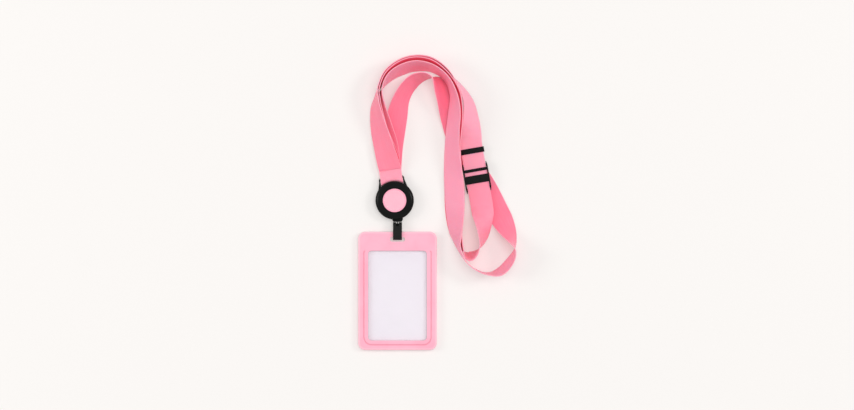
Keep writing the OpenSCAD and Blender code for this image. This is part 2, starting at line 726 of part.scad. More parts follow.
// The ladder buckle: two rails, two crossbars over the ribbon and two under it
narrow_share = 0.255;
wide_share = -0.055;
module rung(along, len, z) {
    translate([-run_slot_w / 2 - rail_w / 2, along - len / 2, z]) cube([run_slot_w + rail_w, len, rung_t]);
}
module adjuster_frame() {
    over_z = rung_t + ribbon_t + 2 * ribbon_play;
    end_at = (adjuster_len - rung_end) / 2 - rail_h / 2;
    color("black") on_run(0, rung_z) {
        for (side = [-1, 1]) translate([side * (run_slot_w + rail_w) / 2, 0, rail_h / 2]) {
            cube([rail_w, adjuster_len - rail_h, rail_h], center = true);
            for (end = [-1, 1]) translate([0, end * (adjuster_len - rail_h) / 2, 0])
                rotate([0, 90, 0]) cylinder(h = rail_w, r = rail_h / 2, center = true);
        }
        rung(adjuster_len * narrow_share, rung_narrow, over_z);
        rung(adjuster_len * wide_share, rung_wide, over_z);
        rung(end_at, rung_end, 0);
        rung(-end_at, rung_end, 0);
    }
}

front_frame();
window_pane();
back_shell();
id_card();
badge_strap();
snap_cap();
snap_socket();
swivel_barrel();
cord_bead();
pull_cord();
back_case();
front_case();
face_disc();
centre_post();
spool_washer();
spool();
cord_winding();
power_spring();
exit_bushing();
attachment_tab();
seam_stitch();
strap_front();
strap_inner();
strap_outer();
keeper();
adjuster_frame();
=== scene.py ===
"""Looks of a badge holder on a cord reel and a ribbon neck lanyard.

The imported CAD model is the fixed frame. Its soft solids are replaced by woven ribbons, a
vinyl snap strap and a braided cord, and its hard parts get their finishes here. Metres.
"""

import logging
import math
from contextlib import contextmanager
from dataclasses import dataclass
from enum import Enum
from typing import Callable, Iterable, Iterator, Optional, Sequence

import bmesh
import bpy
from mathutils import Matrix, Vector


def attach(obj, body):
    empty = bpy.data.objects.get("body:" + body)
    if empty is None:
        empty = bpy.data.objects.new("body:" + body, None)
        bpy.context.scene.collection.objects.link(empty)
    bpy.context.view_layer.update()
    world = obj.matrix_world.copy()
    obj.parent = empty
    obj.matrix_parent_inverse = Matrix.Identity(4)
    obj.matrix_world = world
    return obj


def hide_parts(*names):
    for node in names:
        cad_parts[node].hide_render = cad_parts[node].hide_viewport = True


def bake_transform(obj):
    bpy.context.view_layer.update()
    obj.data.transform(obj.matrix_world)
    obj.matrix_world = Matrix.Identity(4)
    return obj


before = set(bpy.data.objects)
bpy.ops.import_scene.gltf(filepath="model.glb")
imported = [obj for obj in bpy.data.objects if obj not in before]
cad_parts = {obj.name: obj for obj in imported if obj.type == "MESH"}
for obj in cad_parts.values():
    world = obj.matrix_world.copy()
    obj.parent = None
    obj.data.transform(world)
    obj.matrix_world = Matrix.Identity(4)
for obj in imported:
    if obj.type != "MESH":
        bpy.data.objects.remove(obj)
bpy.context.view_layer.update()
LOG = logging.getLogger("badge_scene")
MM = 0.001
SEAM = Vector((-6.674, 79.146, 0.0))
REEL = Vector((-2.550, 51.553, 0.0))
RIBBON_W = 20.0

Place = Callable[[float, float], Vector]
Colour = tuple[float, float, float]
Socket = bpy.types.NodeSocket
Material = bpy.types.Material
Piece = bpy.types.Object
Mesh = bmesh.types.BMesh


def srgb(red: int, green: int, blue: int) -> Colour:
    """Turns a screen colour into a linear one.

    Args:
        red: Red from 0 to 255.
        green: Green from 0 to 255.
        blue: Blue from 0 to 255.

    Returns:
        The linear colour.
    """
    def line(part: float) -> float:
        """Makes one channel linear."""
        return part / 12.92 if part <= 0.04045 else ((part + 0.055) / 1.055) ** 2.4
    return line(red / 255), line(green / 255), line(blue / 255)


class Coords(Enum):
    """The coordinates that a finish reads."""

    OBJECT = "Object"
    UV = "UV"


class Graph:
    """A material's node tree, with short ways to add nodes and to join them."""

    def __init__(self, name: str) -> None:
        """Makes an empty material with one Principled shader.

        Args:
            name: Name of the material.
        """
        self.material = bpy.data.materials.new(name)
        self.material.use_nodes = True
        self.tree = self.material.node_tree
        self.tree.nodes.clear()
        out = self.tree.nodes.new("ShaderNodeOutputMaterial")
        self.shader = self.tree.nodes.new("ShaderNodeBsdfPrincipled")
        self.tree.links.new(self.shader.outputs[0], out.inputs["Surface"])
        self.place = self.tree.nodes.new("ShaderNodeTexCoord")

    def put(self, socket: Socket, value: object) -> None:
        """Links a socket or sets its value.

        Args:
            socket: The input that gets it.
            value: A socket to link, or a constant.
        """
        if isinstance(value, Socket):
            self.tree.links.new(value, socket)
        elif isinstance(value, tuple) and len(value) == 3 and socket.type == "RGBA":
            socket.default_value = (*value, 1.0)
        else:
            socket.default_value = value

    def set(self, **values: object) -> None:
        """Sets the shader's sockets, named with underscores for spaces."""
        for name, value in values.items():
            self.put(self.shader.inputs[name.replace("_", " ")], value)

    def math(self, operation: str, *values: object) -> Socket:
        """Adds a Math node.

        Args:
            operation: The node's operation.
            *values: Its values or sockets.

        Returns:
            The node's output.
        """
        node = self.tree.nodes.new("ShaderNodeMath")
        node.operation = operation
        for socket, value in zip(node.inputs, values):
            self.put(socket, value)
        return node.outputs[0]

    def times(self, a: object, b: object) -> Socket:
        """Multiplies two values."""
        return self.math("MULTIPLY", a, b)

    def minus(self, a: object, b: object) -> Socket:
        """Takes the second value off the first."""
        return self.math("SUBTRACT", a, b)

    def apart(self, a: object, b: object) -> Socket:
        """Gives how far two values are apart."""
        return self.math("ABSOLUTE", self.minus(a, b))

    def ramp(self, value: object, low: float, high: float, to_low: float = 0.0,
             to_high: float = 1.0) -> Socket:
        """Adds a smooth step of a value from one range to another.

        Args:
            value: The value's socket.
            low: Where the step starts.
            high: Where the step ends.
            to_low: Result at the start.
            to_high: Result at the end.

        Returns:
            The stepped value.
        """
        node = self.tree.nodes.new("ShaderNodeMapRange")
        node.interpolation_type = "SMOOTHSTEP"
        for index, part in enumerate((value, low, high, to_low, to_high)):
            self.put(node.inputs[index], part)
        return node.outputs[0]

    def axes(self, coords: Coords) -> tuple[Socket, ...]:
        """Splits the coordinates into their three parts.

        Args:
            coords: The coordinates that are split.

        Returns:
            The sockets of X, Y and Z.
        """
        node = self.tree.nodes.new("ShaderNodeSeparateXYZ")
        self.put(node.inputs[0], self.place.outputs[coords.value])
        return tuple(node.outputs)

    def pattern(self, kind: str, scale: Sequence[float], coords: Coords) -> bpy.types.Node:
        """Adds a texture node that reads the coordinates scaled along each axis.

        Args:
            kind: Type of the texture node.
            scale: Cells to a metre along each axis.
            coords: The coordinates that it reads.

        Returns:
            The texture node.
        """
        mapping = self.tree.nodes.new("ShaderNodeMapping")
        self.put(mapping.inputs["Vector"], self.place.outputs[coords.value])
        mapping.inputs["Scale"].default_value = tuple(scale)
        node = self.tree.nodes.new(kind)
        self.put(node.inputs["Vector"], mapping.outputs[0])
        node.inputs["Scale"].default_value = 1.0
        return node

    def noise(self, scale: Sequence[float], detail: float = 3.0, rough: float = 0.55,
              coords: Coords = Coords.OBJECT) -> Socket:
        """Adds a noise texture.

        Args:
            scale: Cells to a metre along each axis.
            detail: Number of finer layers.
            rough: Strength of the finer layers.
            coords: The coordinates that it reads.

        Returns:
            The noise from 0 to 1.
        """
        node = self.pattern("ShaderNodeTexNoise", scale, coords)
        node.inputs["Detail"].default_value = detail
        node.inputs["Roughness"].default_value = rough
        return node.outputs[0]

    def cells(self, scale: Sequence[float]) -> Socket:
        """Adds the distance to the nearest cell of a Voronoi pattern."""
        return self.pattern("ShaderNodeTexVoronoi", scale, Coords.OBJECT).outputs["Distance"]

    def wave(self, value: object, pitch: float) -> Socket:
        """Turns a length into a wave from 0 to 1 of that pitch."""
        turn = self.math("MULTIPLY_ADD", value, 2 * math.pi / pitch, 0.0)
        return self.math("MULTIPLY_ADD", self.math("SINE", turn), 0.5, 0.5)

    def mix(self, factor: object, low: object, high: object) -> Socket:
        """Mixes two colours.

        Args:
            factor: 0 for the first colour and 1 for the second.
            low: First colour.
            high: Second colour.

        Returns:
            The mixed colour.
        """
        node = self.tree.nodes.new("ShaderNodeMix")
        node.data_type = "RGBA"
        for index, value in ((0, factor), (6, low), (7, high)):
            self.put(node.inputs[index], value)
        return node.outputs[2]

    def bump(self, height: object, depth: float, under: Optional[Socket] = None) -> Socket:
        """Adds a bump.

        Args:
            height: Height from 0 to 1.
            depth: What a height of 1 stands for, in metres.
            under: A bump that this one is added to.

        Returns:
            The bent normal.
        """
        node = self.tree.nodes.new("ShaderNodeBump")
        node.inputs["Strength"].default_value = 1.0
        node.inputs["Distance"].default_value = depth
        self.put(node.inputs["Height"], height)
        if under is not None:
            self.put(node.inputs["Normal"], under)
        return node.outputs[0]


@dataclass(frozen=True)
class Finish:
    """A named finish, which each kind paints in its own way."""

    name: str

    def paint(self, graph: Graph) -> None:
        """Sets the shader's colour, roughness and normal."""
        raise NotImplementedError

    def build(self) -> Material:
        """Makes the material.

        Returns:
            The new material.
        """
        graph = Graph(self.name)
        self.paint(graph)
        return graph.material


@dataclass(frozen=True)
class MouldedPlastic(Finish):
    """Moulded plastic with a fine grain and a slight drift of its colour."""

    colour: Colour
    shade: Colour
    roughness: float = 0.38
    grain: float = 900.0
    depth: float = 0.02 * MM
    coat: float = 0.0
    coat_roughness: float = 0.1

    def dress(self, graph: Graph) -> Socket:
        """Adds colour, roughness and grain, and returns the bent normal.

        Args:
            graph: The material's graph.

        Returns:
            The socket of the bent normal.
        """
        drift = graph.ramp(graph.noise((45, 45, 45), 4), 0.35, 0.65)
        grain = graph.noise((self.grain,) * 3, 2)
        rub = graph.noise((180, 160, 170), 5, 0.7)
        graph.set(Base_Color=graph.mix(drift, self.shade, self.colour),
                  Roughness=graph.ramp(rub, 0.3, 0.7, self.roughness * 0.88, self.roughness * 1.15),
                  Coat_Weight=self.coat, Coat_Roughness=self.coat_roughness)
        return graph.bump(grain, self.depth)

    def paint(self, graph: Graph) -> None:
        """Paints the plastic alone."""
        graph.set(Normal=self.dress(graph))


@dataclass(frozen=True)
class PressedPlastic(MouldedPlastic):
    """Holder plastic with a pressed line round its window, darkened with painted shade, and an outer edge
    band painted paler as a painted highlight.
    """

    window: tuple[float, float] = (53 * MM, 81 * MM)
    window_y: float = -34.097 * MM
    corner: float = 3.2 * MM
    line_at: float = 3.8 * MM
    line_w: float = 1.0 * MM
    line_depth: float = 0.35 * MM
    # Painted shade: the darker colour inside the pressed line
    line_shade_colour: Colour = srgb(228, 128, 152)
    front: tuple[float, float] = (4.2 * MM, 4.6 * MM)
    # Painted highlight: the band along the holder's rounded outer edge and its paler colour
    rim: tuple[float, float] = (-2.2 * MM, -0.6 * MM)
    rim_highlight_colour: Colour = srgb(255, 200, 213)
    body: tuple[float, float] = (70.6 * MM, 106.5 * MM)
    body_y: float = -29.847 * MM
    body_corner: float = 6.3 * MM

    def outline(self, graph: Graph, size: tuple[float, float], middle_y: float, corner: float) -> Socket:
        """Adds the distance to a rounded oblong.

        Args:
            graph: The material's graph.
            size: Width and height of the oblong.
            middle_y: Place of its middle.
            corner: Radius of its corners.

        Returns:
            The distance, which is negative inside.
        """
        x, y, _ = graph.axes(Coords.OBJECT)
        sides = (graph.minus(graph.math("ABSOLUTE", x), size[0] / 2 - corner),
                 graph.minus(graph.apart(y, middle_y), size[1] / 2 - corner))
        past = [graph.math("MAXIMUM", side, 0.0) for side in sides]
        reach = graph.math("SQRT", graph.math("ADD", *[graph.times(p, p) for p in past]))
        inside = graph.math("MINIMUM", graph.math("MAXIMUM", *sides), 0.0)
        return graph.minus(graph.math("ADD", reach, inside), corner)

    def paint(self, graph: Graph) -> None:
        """Paints the plastic, its pressed line darkened with painted shade, and its outer edge band painted
        paler as a painted highlight.

        Args:
            graph: The material's graph.
        """
        under = self.dress(graph)
        _, y, z = graph.axes(Coords.OBJECT)
        away = self.outline(graph, self.window, self.window_y, self.corner)
        top = self.window_y + self.window[1] / 2
        on_front = graph.times(graph.ramp(y, top - 1 * MM, top, 1, 0), graph.ramp(z, *self.front))
        line = graph.times(graph.ramp(graph.apart(away, self.line_at), 0, self.line_w, 1, 0), on_front)
        # The outer edge band painted paler: a painted highlight
        rim = graph.ramp(self.outline(graph, self.body, self.body_y, self.body_corner), *self.rim)
        base = graph.shader.inputs["Base Color"].links[0].from_socket
        paler = graph.mix(graph.times(rim, 0.7), base, self.rim_highlight_colour)
        # Base colour: the pressed line darkened as painted shade, the outer edge band paler as a painted
        # highlight
        graph.set(Base_Color=graph.mix(graph.times(line, 0.45), paler, self.line_shade_colour),
                  Normal=graph.bump(graph.minus(1.0, line), self.line_depth, under))


@dataclass(frozen=True)
class GlossPlastic(MouldedPlastic):
    """Glossy black plastic with a few hairline scratches."""

    scratch: float = 0.004 * MM
    gloss: float = 0.22

    def paint(self, graph: Graph) -> None:
        """Paints the plastic and its scratches.

        Args:
            graph: The material's graph.
        """
        under = self.dress(graph)
        lines = graph.ramp(graph.noise((2600, 90, 300), 2, 0.4), 0.6, 0.66)
        graph.set(Normal=graph.bump(lines, self.scratch, under), Specular_IOR_Level=self.gloss)


@dataclass(frozen=True)
class Vinyl(Finish):
    """Soft vinyl strap with a fine leather grain and rubbed edges."""

    colour: Colour
    worn: Colour
    half: float = 4 * MM
    edge: float = 0.7 * MM

    def paint(self, graph: Graph) -> None:
        """Paints the vinyl.

        Args:
            graph: The material's graph.
        """
        u, _, _ = graph.axes(Coords.UV)
        edge = graph.ramp(graph.apart(u, self.half), self.half - self.edge, self.half)
        rub = graph.ramp(graph.noise((300, 220, 300), 4), 0.4, 0.7)
        graph.set(Base_Color=graph.mix(graph.times(edge, rub), self.colour, self.worn),
                  Roughness=graph.ramp(rub, 0, 1, 0.42, 0.56), Specular_IOR_Level=0.2,
                  Normal=graph.bump(graph.cells((2600, 2600, 2600)), 0.04 * MM))


@dataclass(frozen=True)
class ClearFilm(Finish):
    """Clear film with faint ripples, through which the card shows."""

    colour: Colour
    alpha: float
    haze: Colour = (0.97, 0.96, 0.98)

    def paint(self, graph: Graph) -> None:
        """Paints the film.

        Args:
            graph: The material's graph.
        """
        ripple = graph.noise((28, 19, 28), 2)
        haze = graph.noise((400, 380, 400), 4)
        graph.set(Base_Color=graph.mix(graph.ramp(haze, 0.35, 0.65), self.colour, self.haze),
                  Alpha=self.alpha, Roughness=graph.ramp(haze, 0.3, 0.7, 0.05, 0.11), IOR=1.49,
                  Normal=graph.bump(ripple, 0.4 * MM), Coat_Weight=0.4, Coat_Roughness=0.04)


@dataclass(frozen=True)
class CardStock(Finish):
    """Smooth card with a faint tooth."""

    colour: Colour
    shade: Colour

    def paint(self, graph: Graph) -> None:
        """Paints the card.

        Args:
            graph: The material's graph.
        """
        wash = graph.ramp(graph.noise((14, 11, 10), 3), 0.35, 0.65)
        fibre = graph.noise((1500, 900, 1500), 3)
        graph.set(Base_Color=graph.mix(wash, self.shade, self.colour),
                  Roughness=graph.ramp(fibre, 0.3, 0.7, 0.42, 0.5), Normal=graph.bump(fibre, 0.01 * MM))


@dataclass(frozen=True)
class TurnedMetal(Finish):
    """Plated or turned metal with fine tool lines."""

    colour: Colour
    roughness: float

    def paint(self, graph: Graph) -> None:
        """Paints the metal.

        Args:
            graph: The material's graph.
        """
        lines = graph.noise((500, 500, 5200), 3)
        stain = graph.ramp(graph.noise((350, 350, 350), 4), 0.4, 0.7)
        dull = tuple(0.78 * part for part in self.colour)
        graph.set(Base_Color=graph.mix(stain, self.colour, dull), Metallic=1.0,
                  Roughness=graph.ramp(lines, 0.3, 0.7, self.roughness * 0.8, self.roughness * 1.3),
                  Normal=graph.bump(lines, 0.006 * MM))


@dataclass(frozen=True)
class SatinRibbon(Finish):
    """Woven satin ribbon: fine weft, ribbed selvedges with a painted highlight along their outer edges, and a
    stretch painted paler as painted light.
    """

    colour: Colour
    streak: Colour
    # The edge colour: a painted highlight along the ribbon's outer edges
    edge: Colour
    # The paler colour and the span along the ribbon where it is laid on: painted light
    pale: Colour
    lit_from: float
    lit_to: float
    width: float = 20 * MM
    weft: float = 0.62 * MM
    warp: float = 0.4 * MM

    def paint(self, graph: Graph) -> None:
        """Paints the ribbon.

        Args:
            graph: The material's graph.
        """
        u, v, _ = graph.axes(Coords.UV)
        off = graph.apart(u, self.width / 2)
        hem = graph.ramp(off, self.width * 0.43, self.width * 0.455)
        # The outermost edges, painted in the edge colour: a painted highlight
        rim = graph.ramp(off, self.width * 0.482, self.width * 0.497)
        threads = graph.noise((2400, 60, 1), 3, coords=Coords.UV)
        # A stretch painted paler: painted light
        lit_stretch = graph.minus(graph.ramp(v, self.lit_from, self.lit_from + 40 * MM),
                            graph.ramp(v, self.lit_to, self.lit_to + 25 * MM))
        plain = graph.mix(graph.ramp(threads, 0.35, 0.7), self.colour, self.streak)
        body = graph.mix(graph.times(lit_stretch, 0.92), plain, self.pale)
        weave = graph.times(graph.wave(v, self.weft), graph.wave(u, self.warp))
        ribs = graph.times(graph.wave(v, self.weft * 1.6), hem)
        height = graph.math("ADD", graph.times(weave, 0.5), graph.times(ribs, 0.6))
        graph.set(Base_Color=graph.mix(rim, body, self.edge),
                  Roughness=graph.ramp(threads, 0.3, 0.7, 0.4, 0.52), Normal=graph.bump(height, 0.012 * MM),
                  Subsurface_Weight=0.3, Subsurface_Radius=(1.0, 0.2, 0.3), Subsurface_Scale=0.5 * MM,
                  Sheen_Weight=0.06, Sheen_Roughness=0.4, Specular_IOR_Level=0.25)


@dataclass(frozen=True)
class BraidedCord(Finish):
    """Braided cord: two sets of strands that cross round it, their crowns painted lighter as a painted
    highlight.
    """

    colour: Colour
    # The strand crowns' lighter colour: a painted highlight
    light: Colour
    round_length: float
    pitch: float = 1.1 * MM

    def paint(self, graph: Graph) -> None:
        """Paints the cord.

        Args:
            graph: The material's graph.
        """
        u, v, _ = graph.axes(Coords.UV)
        around = graph.times(u, self.pitch * 2 / self.round_length)
        strands = graph.math("MAXIMUM", graph.wave(graph.math("ADD", v, around), self.pitch),
                             graph.wave(graph.minus(v, around), self.pitch))
        # Strand crowns painted in the lighter colour: a painted highlight, with painted shade between them
        graph.set(Base_Color=graph.mix(graph.ramp(strands, 0.6, 1.0), self.colour, self.light),
                  Roughness=graph.ramp(graph.noise((2000, 2000, 2000)), 0.3, 0.7, 0.55, 0.75),
                  Normal=graph.bump(strands, 0.08 * MM), Sheen_Weight=0.2)


# Each ribbon finish: its name, its colour, streak, edge and pale colour, and from where to where it is
# painted paler along the stretch, in millimetres. The edge colour is a painted highlight and the paler
# stretch painted light;
# the inner and outer stretches are the same satin painted deeper, as painted shade
RIBBONS = {
    "ribbon": ("lanyard_front", ((255, 144, 167), (255, 136, 160), (255, 178, 195), (255, 168, 190)),
               (120, 900)),
    # The inner stretch: the same satin painted much deeper, as painted shade
    "inner": ("lanyard_inner", ((252, 92, 120), (250, 84, 112), (255, 168, 188), (255, 155, 178)),
              (-40, 72)),
    # The outer stretch: the same satin painted a little deeper, as painted shade
    "outer": ("lanyard_outer", ((255, 133, 159), (255, 125, 152), (255, 174, 192), (255, 162, 187)),
              (20, 355)),
    "tab": ("lanyard_tab", ((255, 162, 182), (255, 154, 175), (255, 182, 198), (255, 166, 186)), (0, 900)),
}


class Finishes:
    """The object's finishes, made once and shared by its pieces."""

    def __init__(self) -> None:
        """Makes every material."""
        pink, pale = srgb(254, 172, 193), srgb(255, 180, 200)
        black, soot = srgb(11, 12, 12), srgb(16, 18, 18)
        made = {
            "holder": PressedPlastic("holder_pink", pale, pink, 0.4, coat=0.15, coat_roughness=0.25),
            "back": MouldedPlastic("back_pink", pale, pink, 0.45, coat=0.1, coat_roughness=0.3),
            "film": ClearFilm("window_film", (0.93, 0.91, 0.95), 0.2),
            "card": CardStock("card_stock", srgb(241, 235, 243), srgb(237, 231, 240)),
            "vinyl": Vinyl("strap_vinyl", srgb(17, 17, 17), srgb(38, 38, 39)),
            "nickel": TurnedMetal("snap_nickel", (0.78, 0.78, 0.8), 0.22),
            "steel": TurnedMetal("turned_steel", (0.62, 0.63, 0.65), 0.32),
            "black": GlossPlastic("reel_black", soot, black, 0.22, gloss=0.08),
            "ring": GlossPlastic("reel_ring", soot, black, 0.27, gloss=0.1),
            "buckle": GlossPlastic("buckle_black", soot, black, 0.28, 1400, 0.03 * MM, gloss=0.12),
            "disc": MouldedPlastic("disc_pink", srgb(254, 172, 197), srgb(254, 165, 190), 0.3, 700,
                                   0.01 * MM, 0.8, 0.05),
            "dome": ClearFilm("disc_dome", (1.0, 0.95, 0.97), 0.12),
            "white": MouldedPlastic("inner_white", srgb(240, 240, 238), srgb(230, 230, 228), 0.5),
            "thread": BraidedCord("seam_thread", srgb(244, 104, 136), srgb(255, 130, 158), 1.3 * MM,
                                  0.5 * MM),
            "cord": BraidedCord("cord_black", srgb(17, 17, 18), srgb(36, 36, 39), 2.8 * MM),
        }
        for key, (name, tones, lit_spans) in RIBBONS.items():
            made[key] = SatinRibbon(name, *[srgb(*tone) for tone in tones], *[at * MM for at in lit_spans])
        self.materials = {key: finish.build() for key, finish in made.items()}

    def on(self, piece: Piece, key: str) -> None:
        """Gives a piece one of the finishes."""
        piece.data.materials.clear()
        piece.data.materials.append(self.materials[key])

    def on_node(self, node: str, key: str) -> None:
        """Gives a CAD node one of the finishes through its object's slots.

        Args:
            node: Name of the CAD node.
            key: Name of the finish.
        """
        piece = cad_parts[node]
        for slot in piece.material_slots:
            slot.material = self.materials[key]


def linked(name: str, data: object) -> Piece:
    """Makes an object of its data and links it to the scene.

    Args:
        name: Name of the object.
        data: Its mesh, camera or light.

    Returns:
        The new object.
    """
    piece = bpy.data.objects.new(name, data)
    bpy.context.scene.collection.objects.link(piece)
    return piece


def finished(name: str, mesh: Mesh, body: Optional[str], smooth: bool = True) -> Piece:
    """Makes an object of a bmesh.

    Args:
        name: The piece's name.
        mesh: The piece's bmesh, which is freed.
        body: The CAD body that it rides on, or None where it blends.
        smooth: Whether it is shaded smooth.

    Returns:
        The new object, at the origin.
    """
    data = bpy.data.meshes.new(name)
    mesh.to_mesh(data)
    mesh.free()
    piece = linked(name, data)
    if smooth:
        data.shade_smooth()
    if body is not None:
        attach(piece, body)
    return piece


def add_bevel(piece: Piece, width: float, segments: int = 2) -> None:
    """Adds a live bevel of the sharp edges.

    Args:
        piece: The piece that gets it.
        width: Width of the bevel in metres.
        segments: Number of faces across it.
    """
    bevel = piece.modifiers.new("edge", "BEVEL")
    bevel.width = width
    bevel.segments = segments
    bevel.limit_method = "ANGLE"
    bevel.angle_limit = math.radians(40)


def add_wall(piece: Piece, thickness: float, offset: float = 0.0) -> None:
    """Gives a sheet its thickness with a live modifier.

    Args:
        piece: The sheet.
        thickness: Its thickness in metres.
        offset: 0 to grow both ways, -1 to grow inward.
    """
    wall = piece.modifiers.new("thickness", "SOLIDIFY")
    wall.thickness = thickness
    wall.offset = offset


@contextmanager
def opened(piece: Piece) -> Iterator[Mesh]:
    """Opens a piece's mesh for a change, and puts it back with its normals outward.

    Args:
        piece: The piece that is changed.

    Yields:
        The piece's mesh.
    """
    mesh = bmesh.new()
    mesh.from_mesh(piece.data)
    yield mesh
    bmesh.ops.recalc_face_normals(mesh, faces=mesh.faces)
    mesh.to_mesh(piece.data)
    mesh.free()


def settle(mesh: Mesh, place: Matrix) -> None:
    """Turns a mesh in millimetres into one in metres at its place, with its normals outward.

    Args:
        mesh: The mesh, in millimetres.
        place: Its frame, in metres.
    """
    bmesh.ops.scale(mesh, vec=Vector((MM, MM, MM)), verts=mesh.verts)
    bmesh.ops.transform(mesh, matrix=place, verts=mesh.verts)
    bmesh.ops.recalc_face_normals(mesh, faces=mesh.faces)


def spin(mesh: Mesh, geom: Sequence[object], steps: int) -> None:
    """Spins vertices and edges a full turn round the Z axis."""
    bmesh.ops.spin(mesh, geom=geom, cent=(0, 0, 0), axis=(0, 0, 1), dvec=(0, 0, 0), angle=2 * math.pi,
                   steps=steps, use_merge=True, use_duplicate=False)


def rounded(mesh: Mesh, edges: Iterable[bmesh.types.BMEdge], width: float, segments: int) -> None:
    """Rounds edges of a mesh."""
    bmesh.ops.bevel(mesh, geom=list(edges), offset=width, segments=segments, profile=0.5, affect="EDGES",
                    material=-1)


def mapped_grid(name: str, across: int, along: int, size: tuple[float, float], place: Place,
                body: Optional[str], thickness: float = 0.0, closed: bool = False) -> Piece:
    """Makes a grid and lays it along a surface.

    Args:
        name: The piece's name.
        across: Faces across it.
        along: Faces along it.
        size: Real width and length, which its UV map keeps in metres.
        place: Gives the point for a share across and a share along.
        body: The CAD body that it rides on, or None.
        thickness: Thickness of a sheet, or 0 for a tube.
        closed: Whether edges that meet are joined.

    Returns:
        The new object.
    """
    mesh = bmesh.new()
    layer = mesh.loops.layers.uv.new("UVMap")
    bmesh.ops.create_grid(mesh, x_segments=across, y_segments=along, size=0.5)
    for face in mesh.faces:
        for loop in face.loops:
            loop[layer].uv = ((loop.vert.co.x + 0.5) * size[0], (loop.vert.co.y + 0.5) * size[1])
    for vert in mesh.verts:
        vert.co = place(vert.co.x + 0.5, vert.co.y + 0.5)
    if closed:
        bmesh.ops.remove_doubles(mesh, verts=mesh.verts, dist=1e-6)
    bmesh.ops.recalc_face_normals(mesh, faces=mesh.faces)
    piece = finished(name, mesh, body)
    if thickness:
        add_wall(piece, thickness)
        add_bevel(piece, thickness * 0.22, 2)
    return piece


def tube(name: str, path: Sequence[Vector], radius: float, body: Optional[str], sides: int = 10,
         ring: bool = False) -> Piece:
    """Makes a round tube along a path.

    Args:
        name: The piece's name.
        path: Points of its centre line, close together.
        radius: Radius of the tube.
        body: The CAD body that it rides on, or None.
        sides: Faces round it.
        ring: Whether its ends meet.

    Returns:
        The new object.
    """
    count = len(path) - 1
    length = sum((b - a).length for a, b in zip(path, path[1:]))
    frames = []
    up = Vector((0.03, 0.02, 1.0)).normalized()
    for i, point in enumerate(path):
        after = (i + 1) % count if ring else min(i + 1, count)
        before = (i - 1) % count if ring else max(i - 1, 0)
        ahead = (path[after] - path[before]).normalized()
        side = ahead.cross(up if abs(ahead.dot(up)) < 0.95 else Vector((1, 0, 0))).normalized()
        frames.append((point, side, side.cross(ahead)))

    def place(u: float, w: float) -> Vector:
        """Gives a point on the tube.

        Args:
            u: Share of the way round, from 0 to 1.
            w: Share of the length, from 0 to 1.

        Returns:
            The point in metres.
        """
        point, side, high = frames[min(round(w * count), count)]
        turn = 2 * math.pi * u
        return point + side * (radius * math.cos(turn)) + high * (radius * math.sin(turn))

    piece = mapped_grid(name, sides, count, (2 * math.pi * radius, length), place, None, closed=True)
    if not ring:
        with opened(piece) as mesh:
            bmesh.ops.holes_fill(mesh, edges=[e for e in mesh.edges if e.is_boundary], sides=0)
    if body is not None:
        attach(piece, body)
    return piece


def spun(name: str, profile: Sequence[tuple[float, float]], place: Matrix, body: str,
         steps: int = 48) -> Piece:
    """Spins a profile of radius and height round an axis.

    Args:
        name: The piece's name.
        profile: Radii and heights in millimetres, in order.
        place: Where the axis stands.
        body: The CAD body that it rides on.
        steps: Steps of the full turn.

    Returns:
        The new object.
    """
    mesh = bmesh.new()
    verts = [mesh.verts.new((r * MM, 0, h * MM)) for r, h in profile]
    edges = [mesh.edges.new(pair) for pair in zip(verts, verts[1:])]
    spin(mesh, [*verts, *edges], steps)
    bmesh.ops.remove_doubles(mesh, verts=mesh.verts, dist=1e-6)
    bmesh.ops.recalc_face_normals(mesh, faces=mesh.faces)
    bmesh.ops.transform(mesh, matrix=place, verts=mesh.verts)
    piece = finished(name, mesh, body)
    add_bevel(piece, 0.08 * MM, 2)
    return piece


def box(mesh: Mesh, size: Sequence[float]) -> list[bmesh.types.BMVert]:
    """Adds a box round the origin, and gives its corners.

    Args:
        mesh: The mesh that gets it.
        size: Lengths along X, Y and Z.

    Returns:
        The eight corners.
    """
    made = bmesh.ops.create_cube(mesh, size=1.0)["verts"]
    bmesh.ops.scale(mesh, vec=Vector(size), verts=made)
    return made


def bar(mesh: Mesh, centre: Sequence[float], size: Sequence[float], bevel: float = 0.28) -> None:
    """Adds a bar with rounded edges, in millimetres.

    Args:
        mesh: The bmesh that it is added to.
        centre: Its middle.
        size: Its three sides.
        bevel: Width of the rounding.
    """
    made = box(mesh, size)
    bmesh.ops.translate(mesh, vec=Vector(centre), verts=made)
    rounded(mesh, {edge for vert in made for edge in vert.link_edges}, bevel, 2)


